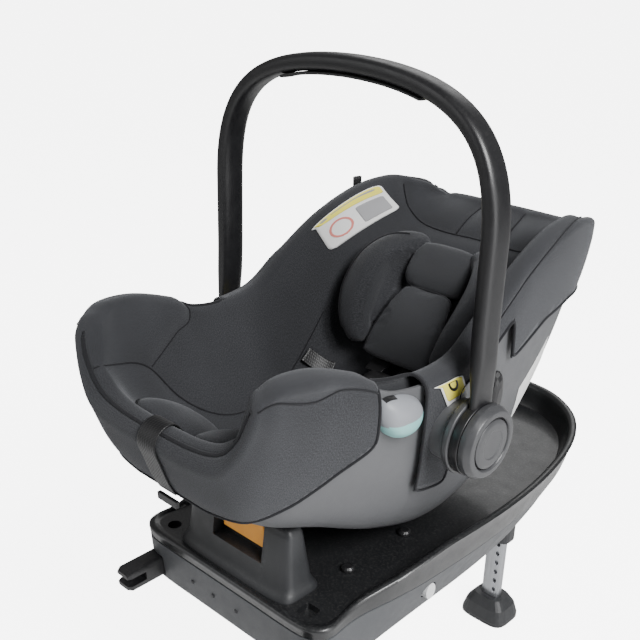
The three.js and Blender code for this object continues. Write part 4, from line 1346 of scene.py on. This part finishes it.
# Printed labels: a rounded card with plain shapes laid just above it, all on one curved surface.
cardLook = {
    "warning": {
        "corners": [(0.642, -0.79), (0.832, -0.665), (0.765, -1.07), (0.602, -1.1)],
        "finishes": ["labelWhite", "labelYellow", "labelInk", "labelRed"],
        "cards": [(0, 0, 1, 1, 0.22, 0, 1.2), (0, 0.6, 0.93, 0.3, 0.3, 1, 1.45),
                  (0.42, -0.3, 0.42, 0.46, 0.2, 2, 1.45), (-0.72, 0.6, 0.09, 0.16, 0.5, 2, 1.6),
                  (0.12, 0.62, 0.62, 0.07, 0.5, 2, 1.6)],
        "rings": [(-0.5, -0.3, 0.3, 0.44, 0.8, 3, 1.5)], "slot": "white_label",
    },
    "tag": {
        "corners": [(0.436, 2.1), (0.476, 2.1), (0.446, 1.93), (0.408, 1.93)],
        "finishes": ["labelWhite", "labelYellow", "satinBlack"],
        "cards": [(0, 0, 1, 1, 0.2, 0, 1.4), (0, 0.1, 0.84, 0.76, 0.2, 1, 1.6)],
        "rings": [(0, 0.1, 0.4, 0.4, 0.6, 2, 1.75)], "slot": "yellow_label",
    },
}


def labelCard(name, look, side, outward, replaces):
    corners = np.array(look["corners"]) * [1, side]
    heart = placed(wrapPoint(0.5, 0.0)) + np.array([0, 0, 0.2])
    bm = bmesh.new()
    verts, spots = [], []
    for ring, shapes in ((False, look["cards"]), (True, look["rings"])):
        for a0, b0, halfA, halfB, corner, index, lift in shapes:
            made = bmesh.ops.create_grid(bm, x_segments=24, y_segments=24, size=1.0)["verts"]
            for vert in made:
                x, y = vert.co.x, vert.co.y
                if ring:
                    reach = corner + (1 - corner) * (y + 1) / 2
                    x, y = reach * math.cos(math.pi * x), reach * math.sin(math.pi * x)
                else:
                    over = max(0.0, (abs(y) - (1 - corner)) / corner)
                    x *= 1 - corner * 0.8 * (1 - math.sqrt(max(0.0, 1 - over * over)))
                verts.append(vert)
                spots.append((a0 + halfA * x, b0 + halfB * y, lift))
            for face in {f for v in made for f in v.link_faces}:
                face.material_index = index
    a, b, lift = np.array(spots).T
    a, b = (a[:, None] + 1) / 2, (b[:, None] + 1) / 2
    low, high = corners[0] + (corners[1] - corners[0]) * a, corners[3] + (corners[2] - corners[3]) * a
    u, c = (low + (high - low) * b).T
    points = placed(wrapPoint(u, c))
    normals = unit(np.cross(placed(wrapPoint(u + 0.004, c)) - points,
                            placed(wrapPoint(u, c + 0.02)) - points))
    inward = np.sum(normals * (heart - points), axis=1).mean() > 0
    normals *= -1 if inward == outward else 1
    points = points + normals * (lift * mm)[:, None]
    for vert, point in zip(verts, points):
        vert.co = point
    bmesh.ops.remove_doubles(bm, verts=bm.verts, dist=mergeGap)
    bm.normal_update()
    nearest = nearestTo(points)
    turned = []
    for face in bm.faces:
        facing = Vector(normals[nearest.find(face.calc_center_median())[1]])
        if face.normal.dot(facing) < 0:
            turned.append(face)
    bmesh.ops.reverse_faces(bm, faces=turned)
    piece = finishPiece(name, bm, look["finishes"], "carrier", replaces, recalc=False)
    addModifier(piece, "SOLIDIFY", thickness=0.5 * mm, offset=-1, use_rim=True)


labelCard("warningCard", cardLook["warning"], 1, False, ("warning_patch",))
labelCard("sideTagRight", cardLook["tag"], 1, True, ("side_tag_right",))
labelCard("sideTagLeft", cardLook["tag"], -1, True, ("side_tag_left",))

# Belt guides: a low dome, grey above and pale aqua below, with a black band of painted shadow along its
# top.
# slot: level above which the top of the dome is painted black as shadow; split: level between the aqua and
# the grey.
guideLook = {"u": 0.357, "v": 0.905, "halfU": 0.043, "halfV": 0.085, "height": 20.0, "split": -0.08,
             "slot": 0.9}


def buildBeltGuide(side):
    bm = bmesh.new()
    around, rings = 64, 16

    def pointsAt(row, column):
        r = np.append(np.arange(rings + 1) / rings, 1.0)[row]
        a, b = superRound(2 * math.pi * (column % around) / around, 2.2)
        crown = guideLook["height"] * np.maximum(1 - r ** 2.6, 0) ** 0.62
        depth = np.where(row > rings, -2.0, crown + 0.6)
        return placed(layerOf(shellFace, guideLook["u"] + guideLook["halfU"] * a * r,
                              side * (guideLook["v"] + guideLook["halfV"] * b * r), depth))

    gridOver(bm, rings + 2, around + 1, pointsAt)
    bmesh.ops.remove_doubles(bm, verts=bm.verts, dist=mergeGap)
    heights = [v.co.z for v in bm.verts]
    middle, half = (max(heights) + min(heights)) / 2, (max(heights) - min(heights)) / 2
    for face in bm.faces:
        level = (face.calc_center_median().z - middle) / half
        # Material 2 (satinBlack) above the slot level is painted shadow; no slot is cut.
        face.material_index = 2 if level > guideLook["slot"] else (1 if level > guideLook["split"] else 0)
    label = "Right" if side > 0 else "Left"
    finishPiece("beltGuide" + label, bm, ["aquaPlastic", "paleGrey", "satinBlack"], "carrier",
                ("belt_guide_" + label.lower(),))


buildBeltGuide(1)
buildBeltGuide(-1)
print("labels, tags and belt guides made")

# Small webbing tab standing on the far rim.
tabLook = {"u": 0.735, "c": -1.55, "heights": (-4.0, 0.0, 4.0, 8.0), "sizes": (6.5, 1.6)}


def buildRimTab():
    base = wrapPoint(np.array([tabLook["u"]]), np.array([tabLook["c"]]))[0]
    path = placed(np.array([base + [0, 0, height] for height in tabLook["heights"]]))
    bm = bmesh.new()
    sweepBar(bm, path, (0.3, 0.95, 0.0), [size * mm for size in tabLook["sizes"]], 5.0, 16, 0.6, 2)
    finishPiece("rimTab", bm, "blackWebbing", "carrier", ())


buildRimTab()

cameraSettings = {
    "at": (724.5, -768.5, 517.7), "back": (0.5952, -0.6015, 0.5329), "roll": -0.2, "lens": 52.76,
    "lift": 0.25,
}
lightSettings = {
    "key": {"at": (2.6, -0.6, 2.9), "size": 1.4, "power": 205},
    "fill": {"at": (-1.6, -2.8, 2.2), "size": 2.4, "power": 26},
    "back": {"at": (-1.4, 2.4, 2.6), "size": 1.8, "power": 18},
    "side": {"at": (3.2, 0.2, 0.9), "size": 1.6, "power": 34},
    "world": (1.0, 1.0, 1.0), "worldStrength": 0.22, "backdrop": 6.0, "floorGlow": 6.0,
}


def buildCamera():
    data = bpy.data.cameras.new("camera")
    camera = bpy.data.objects.new("camera", data)
    scene.collection.objects.link(camera)
    back = Vector(cameraSettings["back"]).normalized()
    right = Vector((0, 0, 1)).cross(back).normalized()
    up = back.cross(right)
    turn = Matrix((right, up, back)).transposed().to_4x4()
    roll = Matrix.Rotation(math.radians(cameraSettings["roll"]), 4, "Z")
    camera.matrix_world = Matrix.Translation(Vector(placed(cameraSettings["at"]))) @ turn @ roll
    data.lens = cameraSettings["lens"]
    data.sensor_width = 36
    data.shift_y = cameraSettings["lift"]
    data.clip_start = 0.05
    scene.camera = camera


def buildStudio():
    bm = bmesh.new()
    bmesh.ops.create_grid(bm, x_segments=8, y_segments=8, size=40.0)
    mesh = bpy.data.meshes.new("studioFloor")
    bm.to_mesh(mesh)
    bm.free()
    floor = bpy.data.objects.new("studioFloor", mesh)
    scene.collection.objects.link(floor)
    material, tree, shader = startMaterial("paleFloor")
    vector = addNode(tree, "ShaderNodeTexCoord").outputs["Object"]
    skin = useGroup(tree, "grain", vector, Base=(0.9, 0.9, 0.9, 1), Grain=90.0, Smooth=0.6,
                    Variation=0.02)
    tree.links.new(skin["Color"], shader.inputs["Base Color"])
    shader.inputs["Roughness"].default_value = 0.7
    seen = addNode(tree, "ShaderNodeLightPath").outputs["Is Camera Ray"]
    tree.links.new(times(tree, seen, lightSettings["floorGlow"]), shader.inputs["Emission Strength"])
    shader.inputs["Emission Color"].default_value = (1, 1, 1, 1)
    mesh.materials.append(material)
    target = Vector(placed([0, 0, -40]))
    for name in ("key", "fill", "back", "side"):
        spec = lightSettings[name]
        data = bpy.data.lights.new(name, "AREA")
        data.shape = "SQUARE"
        data.size = spec["size"]
        data.energy = spec["power"]
        lamp = bpy.data.objects.new(name, data)
        scene.collection.objects.link(lamp)
        lamp.location = spec["at"]
        lamp.rotation_euler = (Vector(spec["at"]) - target).to_track_quat("Z", "Y").to_euler()
    world = bpy.data.worlds.new("studioAir")
    world.use_nodes = True
    shade = world.node_tree.nodes["Background"]
    shade.inputs[0].default_value = (*lightSettings["world"], 1)
    seen = addNode(world.node_tree, "ShaderNodeLightPath").outputs["Is Camera Ray"]
    strength = stretch(world.node_tree, seen, 0.0, 1.0, lightSettings["worldStrength"],
                       lightSettings["backdrop"])
    world.node_tree.links.new(strength, shade.inputs[1])
    scene.world = world


buildCamera()
buildStudio()
print("camera and studio ready")

# CAD parts whose shape is right keep it and get a finish.
cadFinishes = {
    "satinBlack": ["connector_right", "connector_left", "release_lever", "webbing_end", "buckle",
                   "canopy_clip_right", "canopy_clip_left", "deck_stud_front_right",
                   "deck_stud_front_left",
                   "deck_stud_rear_right", "deck_stud_rear_left"],
    "baseDark": ["leg_bracket", "leg_collar", "leg_foot"],
    "orangePlate": ["orange_plate"],
    "whitePlastic": ["side_release_button_right", "side_release_button_left", "leg_button"],
    "aquaPlastic": ["rear_belt_hook"],
    "labelWhite": ["side_label_right", "side_label_left"],
    "buckleRed": ["buckle_button"],
    "steel": ["leg_upper", "leg_lower", "leg_pin", "connector_bar_right", "connector_bar_left"],
}
def dressCadParts():
    for finish, names in cadFinishes.items():
        for name in names:
            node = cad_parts[name]
            for index in range(len(node.data.materials)):
                node.material_slots[index].material = finishes[finish]
            addModifier(node, "WELD", merge_threshold=0.02 * mm)
            softEdges(node, 0.8, 2, 40)


dressCadParts()
print("CAD parts dressed")
